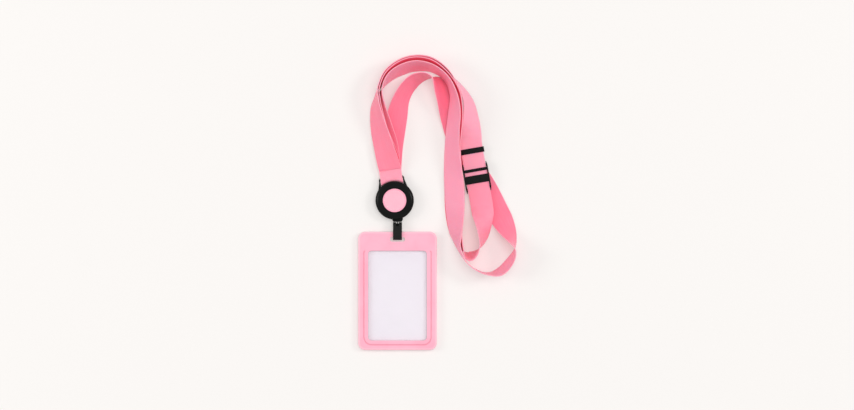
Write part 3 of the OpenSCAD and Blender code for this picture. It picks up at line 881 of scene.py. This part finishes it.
@dataclass
class Studio:
    """Camera, floor, backdrop and light."""

    pixel: float = 0.9 * MM
    frame_px: tuple[int, int] = (854, 410)
    centre_px: tuple[float, float] = (397.5, 257.7)
    height: float = 2.5
    world: float = 0.48
    backdrop: float = 0.93
    overhead: float = 1.2
    overhead_angle: float = 40.0
    right_watts: float = 14.0
    left_watts: float = 13.0
    floor_glow: float = 0.28

    def camera(self) -> None:
        """Puts the camera straight above the object, as in the photograph."""
        lens = bpy.data.cameras.new("camera")
        lens.sensor_width = 36.0
        lens.lens = 36.0 * (self.height - 4 * MM) / (self.frame_px[0] * self.pixel)
        view = linked("camera", lens)
        view.location = ((self.frame_px[0] / 2 - self.centre_px[0]) * self.pixel,
                         (self.centre_px[1] - self.frame_px[1] / 2) * self.pixel, self.height)
        bpy.context.scene.camera = view

    def floor(self) -> None:
        """Makes a pale floor with a faint paper tooth."""
        mesh = bmesh.new()
        bmesh.ops.create_grid(mesh, x_segments=8, y_segments=8, size=3.0)
        bmesh.ops.translate(mesh, vec=Vector((0, 0, -0.05 * MM)), verts=mesh.verts)
        floor = finished("floor", mesh, None, smooth=False)
        graph = Graph("floor_paper")
        tooth = graph.noise((700, 700, 700), 3)
        paper = graph.mix(graph.ramp(tooth, 0.3, 0.7), (0.62, 0.605, 0.592), (0.63, 0.615, 0.602))
        graph.set(Base_Color=paper, Emission_Color=(1.0, 0.975, 0.955), Emission_Strength=self.floor_glow,
                  Roughness=0.9, Specular_IOR_Level=0.1, Normal=graph.bump(tooth, 0.01 * MM))
        floor.data.materials.append(graph.material)

    def softbox(self, name: str, place: Sequence[float], side: float, watts: float) -> None:
        """Adds a square lamp that faces the object.

        Args:
            name: The lamp's name.
            place: Where it stands.
            side: Length of its sides.
            watts: Its power.
        """
        lamp = bpy.data.lights.new(name, "AREA")
        lamp.energy = watts
        lamp.size = side
        lamp.color = (1.0, 0.99, 0.98)
        stand = linked(name, lamp)
        stand.location = place
        stand.rotation_euler = Vector(place).to_track_quat("Z", "Y").to_euler()

    def light(self) -> None:
        """Lights the object evenly from above, with a softbox at its right and a weak one at its left."""
        lamp = bpy.data.lights.new("overhead", "SUN")
        lamp.energy = self.overhead
        lamp.angle = math.radians(self.overhead_angle)
        sun = linked("overhead", lamp)
        sun.rotation_euler = Vector((0.14, 0.12, 1.0)).to_track_quat("Z", "Y").to_euler()
        sun.visible_glossy = False
        self.softbox("right_box", (2.0, 0.6, 1.6), 0.6, self.right_watts)
        self.softbox("left_box", (-2.0, 0.3, 1.3), 0.9, self.left_watts)
        world = bpy.data.worlds.new("studio")
        world.use_nodes = True
        tree = world.node_tree
        back = tree.nodes["Background"]
        path = tree.nodes.new("ShaderNodeLightPath")
        seen = path.outputs["Is Camera Ray"]
        for ray in ("Is Glossy Ray", "Is Transmission Ray"):
            add = tree.nodes.new("ShaderNodeMath")
            add.operation = "ADD"
            add.use_clamp = True
            tree.links.new(path.outputs[ray], add.inputs[0])
            tree.links.new(seen, add.inputs[1])
            seen = add.outputs[0]
        level = tree.nodes.new("ShaderNodeMapRange")
        tree.links.new(seen, level.inputs["Value"])
        level.inputs["To Min"].default_value = self.world
        level.inputs["To Max"].default_value = self.backdrop
        back.inputs["Color"].default_value = (1.0, 0.99, 0.98, 1.0)
        tree.links.new(level.outputs[0], back.inputs["Strength"])
        bpy.context.scene.world = world

    def build(self) -> None:
        """Makes the whole studio."""
        self.camera()
        self.floor()
        self.light()
        bpy.context.scene.view_settings.view_transform = "Standard"


def curve(a: float, b: float, c: float, d: float, t: float) -> float:
    """Gives a Catmull-Rom curve's value at a share of the way from its second to its third point."""
    return 0.5 * (2 * b + (c - a) * t + (2 * a - 5 * b + 4 * c - d) * t * t
                  + (3 * b - a - 3 * c + d) * t ** 3)


@dataclass
class Route:
    """A ribbon's route, measured from the seam: across, along, lower edge and lean."""

    points: Sequence[tuple[float, float, float, float]]
    width: float = RIBBON_W
    thick: float = 0.8
    step: float = 1.6
    cuts: int = 24

    def spline(self) -> list[list[float]]:
        """Rounds the route off between its points, with an even step.

        Returns:
            The points with their lean, close together.
        """
        pts = [list(p) for p in self.points]
        first, last = ([2 * a - b for a, b in zip(*pair)] for pair in (pts[:2], pts[:-3:-1]))
        pts = [first, *pts, last]
        fine = []
        for a, b, c, d in zip(pts, pts[1:], pts[2:], pts[3:]):
            for k in range(self.cuts):
                at = [curve(*four, k / self.cuts) for four in zip(a, b, c, d)]
                # The solids run straight between the points, so edge height and lean don't pass them here
                for part in (2, 3):
                    at[part] = min(max(at[part], min(b[part], c[part])), max(b[part], c[part]))
                fine.append(at)
        fine.append(pts[-2])
        run = [0.0]
        for p, q in zip(fine, fine[1:]):
            run.append(run[-1] + math.dist(p[:2], q[:2]))
        count = max(8, round(run[-1] / self.step))
        even, j = [], 0
        for k in range(count + 1):
            at = run[-1] * k / count
            while j < len(run) - 2 and run[j + 1] < at:
                j += 1
            t = (at - run[j]) / max(run[j + 1] - run[j], 1e-9)
            even.append([p + (q - p) * t for p, q in zip(fine[j], fine[j + 1])])
        return even


class Meets(Enum):
    """Where a stretch of ribbon meets the adjuster."""

    AT_START = "start"
    AT_END = "end"


@dataclass
class Ribbon:
    """One stretch of the lanyard's ribbon."""

    name: str
    node: str
    route: Route
    length: float
    finish: str
    adjuster: Optional[Meets] = None
    square_to: Optional[Vector] = None
    square_over: float = 10.0
    lowest: float = 0.3

    def build(self, finishes: Finishes, with_pieces: Iterable[Piece] = ()) -> None:
        """Args:
            finishes: The object's finishes.
            with_pieces: Pieces that sit on it; not used.
        """
        line = self.route.spline()
        count = len(line) - 1
        half, thick = self.route.width / 2, self.route.thick / 2
        centres, wides, run = [], [], 0.0
        flat_length = sum(math.dist(p[:2], q[:2]) for p, q in zip(line, line[1:]))
        for i, (x, y, lift, lean) in enumerate(line):
            before, after = line[max(i - 1, 0)], line[min(i + 1, count)]
            if i:
                run += math.dist(line[i - 1][:2], line[i][:2])
            ahead = Vector((after[0] - before[0], after[1] - before[1], 0)).normalized()
            if self.square_to is not None:
                ahead = ahead.lerp(self.square_to, max(0.0, 1 - run / self.square_over)).normalized()
            turn = math.radians(lean)
            rise = max(lift, self.lowest) + half * abs(math.sin(turn)) + thick * abs(math.cos(turn))
            if self.adjuster is not None:
                rise += humps(flat_length - run if self.adjuster is Meets.AT_END else -run)
            centres.append((SEAM + Vector((x, y, rise))) * MM)
            level = Vector((ahead.y, -ahead.x, 0))
            wides.append(level * math.cos(turn) + Vector((0, 0, 1)) * math.sin(turn))

        def place(u: float, w: float) -> Vector:
            """Gives a point on the ribbon."""
            i = min(round(w * count), count)
            return centres[i] + wides[i] * ((2 * u - 1) * half * MM)

        real = sum((b - a).length for a, b in zip(centres, centres[1:]))
        piece = mapped_grid(self.name, 10, count, (self.route.width * MM, real), place, "reel",
                            self.route.thick * MM)
        finishes.on(piece, self.finish)
        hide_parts(self.node)
        LOG.info("%s: %.3f m of ribbon in %d steps", self.name, real, count)


# The routes, followed in the photograph: millimetres across and along from the seam, the lower
# edge's height in millimetres, and the lean in degrees
FRONT = (
    (0, 0, 4.3, 0), (-5, 18, 4.1, 25), (-10, 37, 3.4, 43), (-12.8, 54, 1.6, 62), (-12.3, 63.5, 0.8, 77),
    (-11, 73, 0.3, 90), (-3.2, 86.4, 0.3, 104), (9.5, 94.6, 0.3, 115), (23, 97.9, 0.3, 118),
    (37, 96.2, 0.3, 115), (51, 88.6, 0.6, 99), (61.5, 77, 1.3, 81), (70.4, 61, 2.3, 63),
    (72.7, 43, 3.2, 40), (72.5, 31.5, 3.8, 14), (73, 21.5, 4, 0), (78, -7, 4, 0))
INNER = (
    (78, -7, 4, 0), (82.5, -32.5, 4, 0), (84, -47, 5.8, 38), (83.6, -61.5, 2, 68), (79.5, -72, 0.6, 92),
    (71.5, -77.8, 0.5, 113), (65.4, -72.5, 0.3, 86), (61.9, -64, 0.3, 72), (59, -54, 0.3, 53),
    (58.2, -36, 0.4, 32), (57.8, -16, 0.8, 28), (56.4, 3.5, 1.3, 40), (56.8, 22.5, 2.4, 50),
    (59.2, 41.5, 3.5, 56), (60, 57, 4.8, 61), (58.2, 71.6, 4.4, 70), (49.4, 85.8, 2.1, 74),
    (36.4, 94.2, 0.5, 65), (23, 96.2, 0.3, 62), (10, 93.1, 0.3, 65), (-2.1, 85.3, 0.3, 76),
    (-9.5, 72.8, 0.3, 90), (-10.9, 63.5, 0.3, 103), (-11.6, 54, 0.3, 118), (-9.8, 37, 1.4, 137),
    (-6, 23.5, 2.5, 151), (-1, 7, 3.1, 180))
OUTER = (
    (-1, 7, 2, 0), (-2.5, 21.5, 1.4, 13), (-6.5, 38.5, 1.1, 32), (-9, 55.5, 0.4, 57), (-7.7, 71, 0.3, 86),
    (-0.3, 82.8, 0.3, 107), (10.8, 89.9, 0.3, 116), (23.5, 93.2, 0.3, 116), (38, 91, 1, 108),
    (50.5, 81.9, 4.6, 103), (57, 67.5, 6.2, 108), (57.8, 52, 6.3, 122), (56.3, 34, 4.6, 126),
    (55.8, 13.5, 3.2, 133), (57.2, -9, 2.6, 148), (58.2, -30, 2.1, 148), (59, -54, 2.4, 127),
    (59.9, -61.5, 2, 113), (61.5, -69.5, 1.5, 100), (67.8, -82, 0.8, 91), (77, -89.8, 0.3, 89),
    (88.5, -93.6, 0.3, 85), (100, -90.8, 0.3, 69), (109.2, -80, 0.3, 74), (112.2, -70.5, 0.3, 92),
    (109, -61, 0.3, 121), (104, -51, 0.3, 149), (98, -39.5, 0.3, 176), (86, -16, 0.3, 180),
    (72, 6, 0.3, 180), (61, 28, 0.3, 178), (55.5, 46, 0.3, 169), (50.6, 62, 0.3, 147),
    (45.7, 75.2, 0.3, 132), (41.4, 80.6, 0.3, 113), (37.6, 83, 0.3, 90), (32.6, 83.9, 0.3, 75),
    (26.8, 82.7, 0.3, 64), (20.4, 79, 0.3, 54), (14, 71.4, 0.3, 49), (9.2, 61, 0.3, 40),
    (6.2, 47.5, 0.3, 22), (3.6, 34, 0.3, 8), (1.4, 19, 0.3, 2), (0, 0, 1.2, 0))

# Rise over each of the adjuster's bars, its place up the run and its spread
HUMPS = ((0.2, 10.8, 2.2), (0.12, 3.8, 1.0), (0.2, -11.4, 2.6))


def humps(along: float) -> float:
    """Gives the ribbon's rise where it passes over the adjuster's bars.

    Args:
        along: Distance up the run from the adjuster's middle, in millimetres.

    Returns:
        The rise in millimetres.
    """
    return sum(rise * math.exp(-((along - at) / spread) ** 2) for rise, at, spread in HUMPS)


@dataclass
class Lanyard:
    """The ribbon lanyard: three stretches, keeper, adjuster, fold, tab and seam."""

    reel_turn: float = 8.5
    bar_y: float = 19.8
    bar_z: float = 3.2
    seam_y: float = 27.9
    tab_end: float = 30.4
    run_at: tuple[float, float] = (78.0, -7.0)
    run_turn: float = math.degrees(math.atan2(-28.5, 5.0)) + 90
    run_w: float = 20.6
    rail_w: float = 1.2
    run_z: float = 4.0
    keeper_reach: float = 24.3
    keeper_over: float = 1.2
    keeper_len: float = 4.8
    keeper_high: float = 2.6
    keeper_wall: float = 0.55
    adjuster_len: float = 26.5
    rail_under: float = 1.3
    rail_over: float = 2.1
    taper_from: float = 0.7
    bars: tuple[tuple[float, float], ...] = ((0.255, 2.7), (-0.055, 7.2))
    end_bar_w: float = 3.0
    bar_t: float = 1.0
    rim_r: float = 17.75
    tab_t: float = 0.76
    fold_r: float = 0.55
    fold_z: float = 2.95
    fold_len: float = 1.7
    stitches: int = 13
    stitch_pitch: float = 1.45
    stitch: tuple[float, float, float] = (0.62, 0.2, 0.16)

    def on_reel(self) -> Matrix:
        """Gives the reel's own frame, in metres."""
        return Matrix.Translation(REEL * MM) @ Matrix.Rotation(math.radians(self.reel_turn), 4, "Z")

    def on_run(self) -> Matrix:
        """Gives the frame of the adjuster's middle, in metres."""
        return (Matrix.Translation((SEAM + Vector((*self.run_at, 0))) * MM)
                @ Matrix.Rotation(math.radians(self.run_turn), 4, "Z"))

    def keeper(self, finishes: Finishes) -> Piece:
        """Builds the keeper, a flat loop with rounded edges.

        Args:
            finishes: The object's finishes.

        Returns:
            The keeper.
        """
        mesh = bmesh.new()
        box(mesh, (self.run_w + self.keeper_over, self.keeper_len, self.keeper_high))
        ends = [face for face in mesh.faces if abs(face.normal.y) > 0.9]
        bmesh.ops.delete(mesh, geom=ends, context="FACES_ONLY")
        long_edges = [edge for edge in mesh.edges if not edge.is_boundary]
        rounded(mesh, long_edges, 0.5, 4)
        bmesh.ops.translate(mesh, vec=Vector((0, self.keeper_reach, self.run_z + 0.4)), verts=mesh.verts)
        settle(mesh, self.on_run())
        piece = finished("keeper_loop", mesh, "keeper")
        add_wall(piece, self.keeper_wall * MM, -1.0)
        add_bevel(piece, 0.16 * MM)
        finishes.on(piece, "buckle")
        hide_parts("keeper")
        return piece

    def adjuster(self, finishes: Finishes) -> Piece:
        """Builds the ladder buckle: two pointed rails and four crossbars.

        Args:
            finishes: The object's finishes.

        Returns:
            The buckle.
        """
        mesh = bmesh.new()
        low, high = self.run_z - self.rail_under, self.run_z + self.rail_over
        for side in (-1, 1):
            made = box(mesh, (self.rail_w, self.adjuster_len, high - low))
            edges = [e for e in {e for v in made for e in v.link_edges}
                     if abs(e.verts[0].co.y - e.verts[1].co.y) > 1]
            bmesh.ops.subdivide_edges(mesh, edges=edges, cuts=12, use_grid_fill=True)
            verts = [vert for vert in mesh.verts if abs(vert.co.x) < self.rail_w]
            for vert in verts:
                share = abs(vert.co.y) / (self.adjuster_len / 2)
                point = max(0.0, (share - self.taper_from) / (1 - self.taper_from))
                if vert.co.x * side > 0:
                    vert.co.x = side * self.rail_w * (0.5 - 0.6 * point ** 1.6)
                vert.co.z *= 1 - 0.55 * point ** 2
            middle = Vector((side * (self.run_w + self.rail_w) / 2, 0, (low + high) / 2))
            bmesh.ops.translate(mesh, vec=middle, verts=verts)
        reach = self.run_w + self.rail_w
        end_at = (self.adjuster_len - self.end_bar_w) / 2 - (high - low) / 2
        bars = [(self.adjuster_len * share, high - self.bar_t / 2, width) for share, width in self.bars]
        bars += [(side * end_at, low + self.bar_t / 2, self.end_bar_w) for side in (-1, 1)]
        for y, z, width in bars:
            bar(mesh, (0, y, z), (reach, width, self.bar_t))
        settle(mesh, self.on_run())
        piece = finished("ladder_buckle", mesh, "adjuster", smooth=False)
        add_bevel(piece, 0.12 * MM)
        finishes.on(piece, "buckle")
        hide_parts("adjuster_frame")
        return piece

    def tab(self, finishes: Finishes) -> None:
        """Builds the short ribbon that is folded round the reel's crossbar.

        Args:
            finishes: The object's finishes.
        """
        low = [(self.tab_end, -0.42)]
        low += [(self.bar_y + y, z) for y, z in ((6.5, -0.42), (3.6, -0.5), (1.9, -0.95), (0.75, -1.33),
                                                 (-0.3, -1.38), (-1.05, -0.95), (-1.4, 0.0))]
        profile = low + [(y, -z) for y, z in reversed(low[:-1])]
        smooth = Route([(y, z, 0, 0) for y, z in profile], step=0.35).spline()
        place_at = self.on_reel() @ Matrix.Translation((0, 0, self.bar_z * MM))
        length = sum(math.dist(p[:2], q[:2]) for p, q in zip(smooth, smooth[1:]))
        count = len(smooth) - 1

        def place(u: float, w: float) -> Vector:
            """Gives a point on the folded tab.

            Args:
                u: Share of the width, from 0 to 1.
                w: Share of the length, from 0 to 1.

            Returns:
                The point in metres.
            """
            y, z = smooth[min(round(w * count), count)][:2]
            x = (u - 0.5) * RIBBON_W
            bend = min(1.0, max(0.0, (self.bar_y + 3.6 - y) / 5.0)) ** 1.4
            y -= bend * (self.bar_y - 1.4 - math.sqrt(self.rim_r ** 2 - x ** 2))
            return place_at @ (Vector((x, y, z)) * MM)

        size = (RIBBON_W * MM, length * MM)
        piece = mapped_grid("sewn_tab", 8, count, size, place, "reel", self.tab_t * MM)
        finishes.on(piece, "tab")
        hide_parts("attachment_tab")

    def fold(self, finishes: Finishes) -> None:
        """Builds the small fold that joins the inner and the outer stretch at the neck.

        Args:
            finishes: The object's finishes.
        """
        ahead = Vector((4.0, -16.5, 0)).normalized()
        wide = Vector((ahead.y, -ahead.x, 0))
        start = SEAM + Vector((*OUTER[0][:2], 0))

        def place(u: float, w: float) -> Vector:
            """Gives a point on the half-round fold.

            Args:
                u: Share of the width, from 0 to 1.
                w: Share of the length, from 0 to 1.

            Returns:
                The point in metres.
            """
            turn = math.pi * w
            out = ahead * (self.fold_r * math.sin(turn)) + wide * ((u - 0.5) * RIBBON_W)
            return (start + out + Vector((0, 0, self.fold_z + self.fold_r * math.cos(turn)))) * MM

        size = (RIBBON_W * MM, self.fold_len * MM)
        piece = mapped_grid("neck_fold", 8, 10, size, place, "reel", self.tab_t * MM)
        finishes.on(piece, "ribbon")

    def seam(self, finishes: Finishes) -> None:
        """Builds the row of small stitches across the seam.

        Args:
            finishes: The object's finishes.
        """
        mesh = bmesh.new()
        for i in range(self.stitches):
            x = (i - self.stitches // 2) * self.stitch_pitch
            made = bmesh.ops.create_uvsphere(mesh, u_segments=10, v_segments=8, radius=1.0)["verts"]
            bmesh.ops.scale(mesh, vec=Vector(self.stitch), verts=made)
            bmesh.ops.translate(mesh, vec=Vector((x, self.seam_y + 0.9, 5.12)), verts=made)
        settle(mesh, self.on_reel())
        piece = finished("seam_row", mesh, "reel")
        finishes.on(piece, "thread")
        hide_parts("seam_stitch")

    def build(self, finishes: Finishes) -> None:
        """Builds the lanyard.

        Args:
            finishes: The object's finishes.
        """
        keeper, adjuster = self.keeper(finishes), self.adjuster(finishes)
        up_the_tab = self.on_reel().to_3x3() @ Vector((0, 1, 0))
        Ribbon("ribbon_front", "strap_front", Route(FRONT), 0.254, "ribbon", Meets.AT_END,
               up_the_tab).build(finishes, [keeper, adjuster])
        Ribbon("ribbon_inner", "strap_inner", Route(INNER), 0.391, "inner", Meets.AT_START).build(finishes)
        Ribbon("ribbon_outer", "strap_outer", Route(OUTER), 0.644, "outer").build(finishes)
        self.tab(finishes)
        self.fold(finishes)
        self.seam(finishes)
        LOG.info("lanyard: three ribbons, tab, fold, seam, keeper and adjuster")


@dataclass
class SnapStrap:
    """The vinyl strap that loops through the holder's slot, with its snap."""

    loop: tuple[float, float] = (19.703, 3.93)
    eye: tuple[float, float] = (29.203, 4.2)
    loop_r: float = 3.3
    eye_r: float = 2.25
    width: float = 8.0
    thick: float = 0.96
    snap_share: float = 0.575
    notch_half: float = 1.2
    notch_from: float = -0.9
    notch_above: float = -1.2
    notch_past: float = 0.5
    loop_steps: int = 36
    eye_steps: int = 28
    legs: int = 10
    columns: tuple[float, ...] = (-4.0, -3.1, -2.2, -1.3, 0.0, 1.3, 2.2, 3.1, 4.0)

    def outline(self) -> list[tuple[float, float]]:
        """Gives the strap's closed centre line in the Y-Z plane.

        Returns:
            The points in millimetres, as Y and Z.
        """
        a, b = Vector(self.loop), Vector(self.eye)
        ahead = (b - a).normalized()
        high = Vector((-ahead.y, ahead.x))
        lean = math.acos((self.loop_r - self.eye_r) / (b - a).length)

        def bend(centre: Vector, radius: float, start: float, sweep: float, steps: int) -> list[Vector]:
            """Gives the points of one bend."""
            turns = [start + sweep * i / steps for i in range(steps + 1)]
            return [centre + ahead * (radius * math.cos(t)) + high * (radius * math.sin(t)) for t in turns]

        first = bend(a, self.loop_r, lean, 2 * (math.pi - lean), self.loop_steps)
        second = bend(b, self.eye_r, -lean, 2 * lean, self.eye_steps)
        down = [first[-1].lerp(second[0], i / self.legs) for i in range(1, self.legs)]
        back = [second[-1].lerp(first[0], i / self.legs) for i in range(1, self.legs + 1)]
        return [tuple(point) for point in first + down + second + back]

    def strap(self, finishes: Finishes) -> None:
        """Builds the strap, open in the middle of its eye for the cord.

        Args:
            finishes: The object's finishes.
        """
        line = self.outline()
        count = len(line) - 1
        length = sum(math.dist(p, q) for p, q in zip(line, line[1:])) * MM
        faces = len(self.columns) - 1

        def place(u: float, w: float) -> Vector:
            """Gives a point on the strap."""
            y, z = line[min(round(w * count), count)]
            return Vector((self.columns[min(round(u * faces), faces)], y, z)) * MM

        def over_cord(face: bmesh.types.BMFace) -> bool:
            """Tells whether a face of the eye is where the cord passes and leans.

            Args:
                face: The face that is tested.

            Returns:
                Whether it is taken out.
            """
            at = face.calc_center_median() / MM
            past, above = at.y - self.eye[0], at.z - self.eye[1]
            high_up = past > self.notch_from and above > self.notch_above
            return abs(at.x) < self.notch_half and (past > self.notch_past or high_up)

        size = (self.width * MM, length)
        piece = mapped_grid("snap_strap", faces, count, size, place, None, closed=True)
        with opened(piece) as mesh:
            bmesh.ops.delete(mesh, geom=[face for face in mesh.faces if over_cord(face)], context="FACES")
        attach(piece, "strap")
        add_wall(piece, self.thick * MM)
        add_bevel(piece, 0.2 * MM, 3)
        finishes.on(piece, "vinyl")
        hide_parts("badge_strap")

    def snap_place(self) -> Matrix:
        """Gives the snap's frame on the strap's rear leg, with Z into the strap's loop.

        Returns:
            The frame, in metres.
        """
        line = self.outline()
        start, end = Vector(line[self.loop_steps]), Vector(line[self.loop_steps + self.legs])
        at = start.lerp(end, self.snap_share)
        lean = math.atan2(end.y - start.y, end.x - start.x)
        return Matrix.Translation(Vector((0, at.x, at.y)) * MM) @ Matrix.Rotation(lean, 4, "X")

    def snap(self, finishes: Finishes) -> None:
        """Builds the snap's domed cap and its ringed socket.

        Args:
            finishes: The object's finishes.
        """
        place = self.snap_place()
        cap = ((0.0, -1.02), (0.6, -1.0), (1.2, -0.92), (1.65, -0.8), (1.93, -0.64), (2.0, -0.54),
               (1.95, -0.5), (0.85, -0.5), (0.8, -0.45), (0.8, 0.45), (0.55, 0.5), (0.0, 0.5))
        socket = ((0.85, 0.52), (1.4, 0.52), (1.4, 0.9), (1.32, 1.05), (1.36, 1.2), (1.3, 1.42),
                  (1.1, 1.49), (0.92, 1.42), (0.85, 1.2), (0.85, 0.52))
        for name, node, profile in (("snap_dome", "snap_cap", cap), ("snap_ring", "snap_socket", socket)):
            piece = spun(name, profile, place, "strap")
            finishes.on(piece, "nickel")
            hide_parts(node)

    def build(self, finishes: Finishes) -> None:
        """Builds the strap and its snap.

        Args:
            finishes: The object's finishes.
        """
        self.strap(finishes)
        self.snap(finishes)
        finishes.on_node("swivel_barrel", "black")
        LOG.info("strap: belt with its eye, snap dome and ring, barrel")


@dataclass
class Reel:
    """The cord reel: case, disc, spool, spring and cord."""

    pin: tuple[float, float, float] = (0.0, 29.203, 4.2)
    cord_r: float = 0.45
    cord_steps: int = 90
    drum_r: float = 8.8
    turn_r: float = 0.42
    first_turn_z: float = 3.25
    turn_pitch: float = 0.93
    turn_gap: float = 1.08
    rows: int = 3
    knot_r: float = 0.33

    def dome(self, finishes: Finishes) -> None:
        """Builds the clear dome over the coloured disc.

        Args:
            finishes: The object's finishes.
        """
        profile = ((0.0, 9.62), (4.0, 9.6), (7.0, 9.54), (9.0, 9.46), (9.6, 9.38), (9.62, 9.32), (0.0, 9.31))
        piece = spun("disc_dome", profile, Matrix.Translation(REEL * MM), "reel", 72)
        finishes.on(piece, "dome")

    def ring(self, finishes: Finishes) -> None:
        """Builds the case's front ring, crowned across its width so that it catches the lamps in arcs.

        Args:
            finishes: The object's finishes.
        """
        profile = ((10.6, 8.0), (10.62, 8.92), (10.95, 9.2), (11.6, 9.36), (12.4, 9.4), (13.3, 9.33),
                   (14.3, 9.12), (15.2, 8.8), (16.0, 8.37), (16.65, 7.84), (17.1, 7.32), (17.25, 7.0),
                   (16.0, 7.0), (10.6, 8.0))
        piece = spun("case_ring", profile, Matrix.Translation(REEL * MM), "reel", 96)
        finishes.on(piece, "ring")
        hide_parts("front_case")

    def cord(self, finishes: Finishes) -> None:
        """Builds the pull cord, which runs off the spool as the holder is pulled.

        Args:
            finishes: The object's finishes.
        """
        start, end = self.pin[1] + 0.9, REEL.y - 11.3
        path = [Vector((0, start + (end - start) * i / self.cord_steps, self.pin[2])) * MM
                for i in range(self.cord_steps + 1)]
        piece = tube("pull_line", path, self.cord_r * MM, None, 12)
        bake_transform(piece)
        finishes.on(piece, "cord")
        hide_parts("pull_cord")
        turns = [2 * math.pi * i / 60 for i in range(61)]
        knot = [Vector((0.36 * (math.sin(t) + 1.1 * math.sin(2 * t)),
                        0.36 * (math.cos(t) - 1.1 * math.cos(2 * t)), -0.4 * math.sin(3 * t))) for t in turns]
        path = [(Vector(self.pin) + point * 0.8) * MM for point in knot]
        piece = tube("cord_knot", path, self.knot_r * MM, "cord_end", 8, ring=True)
        finishes.on(piece, "cord")
        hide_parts("cord_bead")

    def coil(self, finishes: Finishes) -> None:
        """Builds the cord's turns on the drum.

        Args:
            finishes: The object's finishes.
        """
        mesh = bmesh.new()
        upright = Matrix.Rotation(math.pi / 2, 3, "X")
        for level in range(self.rows):
            for row in range(self.rows):
                ring = bmesh.ops.create_circle(mesh, segments=8, radius=self.turn_r)["verts"]
                at = self.drum_r + self.turn_r + row * 2 * self.turn_r * self.turn_gap
                bmesh.ops.rotate(mesh, cent=(0, 0, 0), matrix=upright, verts=ring)
                height = self.first_turn_z + level * self.turn_pitch
                bmesh.ops.translate(mesh, vec=Vector((at, 0, height)), verts=ring)
                edges = {edge for vert in ring for edge in vert.link_edges}
                spin(mesh, [*ring, *edges], 56)
        bmesh.ops.remove_doubles(mesh, verts=mesh.verts, dist=1e-5)
        settle(mesh, Matrix.Translation(REEL * MM))
        piece = finished("cord_turns", mesh, "spool")
        finishes.on(piece, "cord")
        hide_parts("cord_winding")

    def build(self, finishes: Finishes) -> None:
        """Builds the reel's own pieces and dresses its CAD nodes.

        Args:
            finishes: The object's finishes.
        """
        self.dome(finishes)
        self.ring(finishes)
        self.cord(finishes)
        self.coil(finishes)
        for node, key in (("back_case", "black"), ("face_disc", "disc"),
                          ("centre_post", "steel"), ("spool_washer", "white"), ("spool", "white"),
                          ("power_spring", "steel"), ("exit_bushing", "steel")):
            finishes.on_node(node, key)
        LOG.info("reel: case, disc with dome, spool, spring, cord and its turns")


class Holder:
    """The badge holder with its window, card and pane."""

    def build(self, finishes: Finishes) -> None:
        """Dresses the holder's CAD nodes.

        Args:
            finishes: The object's finishes.
        """
        for node, key in (("front_frame", "holder"), ("back_shell", "back"), ("window_pane", "film"),
                          ("id_card", "card")):
            finishes.on_node(node, key)
        LOG.info("holder: frame, shell, pane and card")


def main() -> None:
    """Builds the scene and reports each piece."""
    logging.basicConfig(level=logging.INFO, format="%(name)s: %(message)s")
    Studio().build()
    finishes = Finishes()
    Lanyard().build(finishes)
    SnapStrap().build(finishes)
    Reel().build(finishes)
    Holder().build(finishes)


if __name__ == "__main__":
    main()
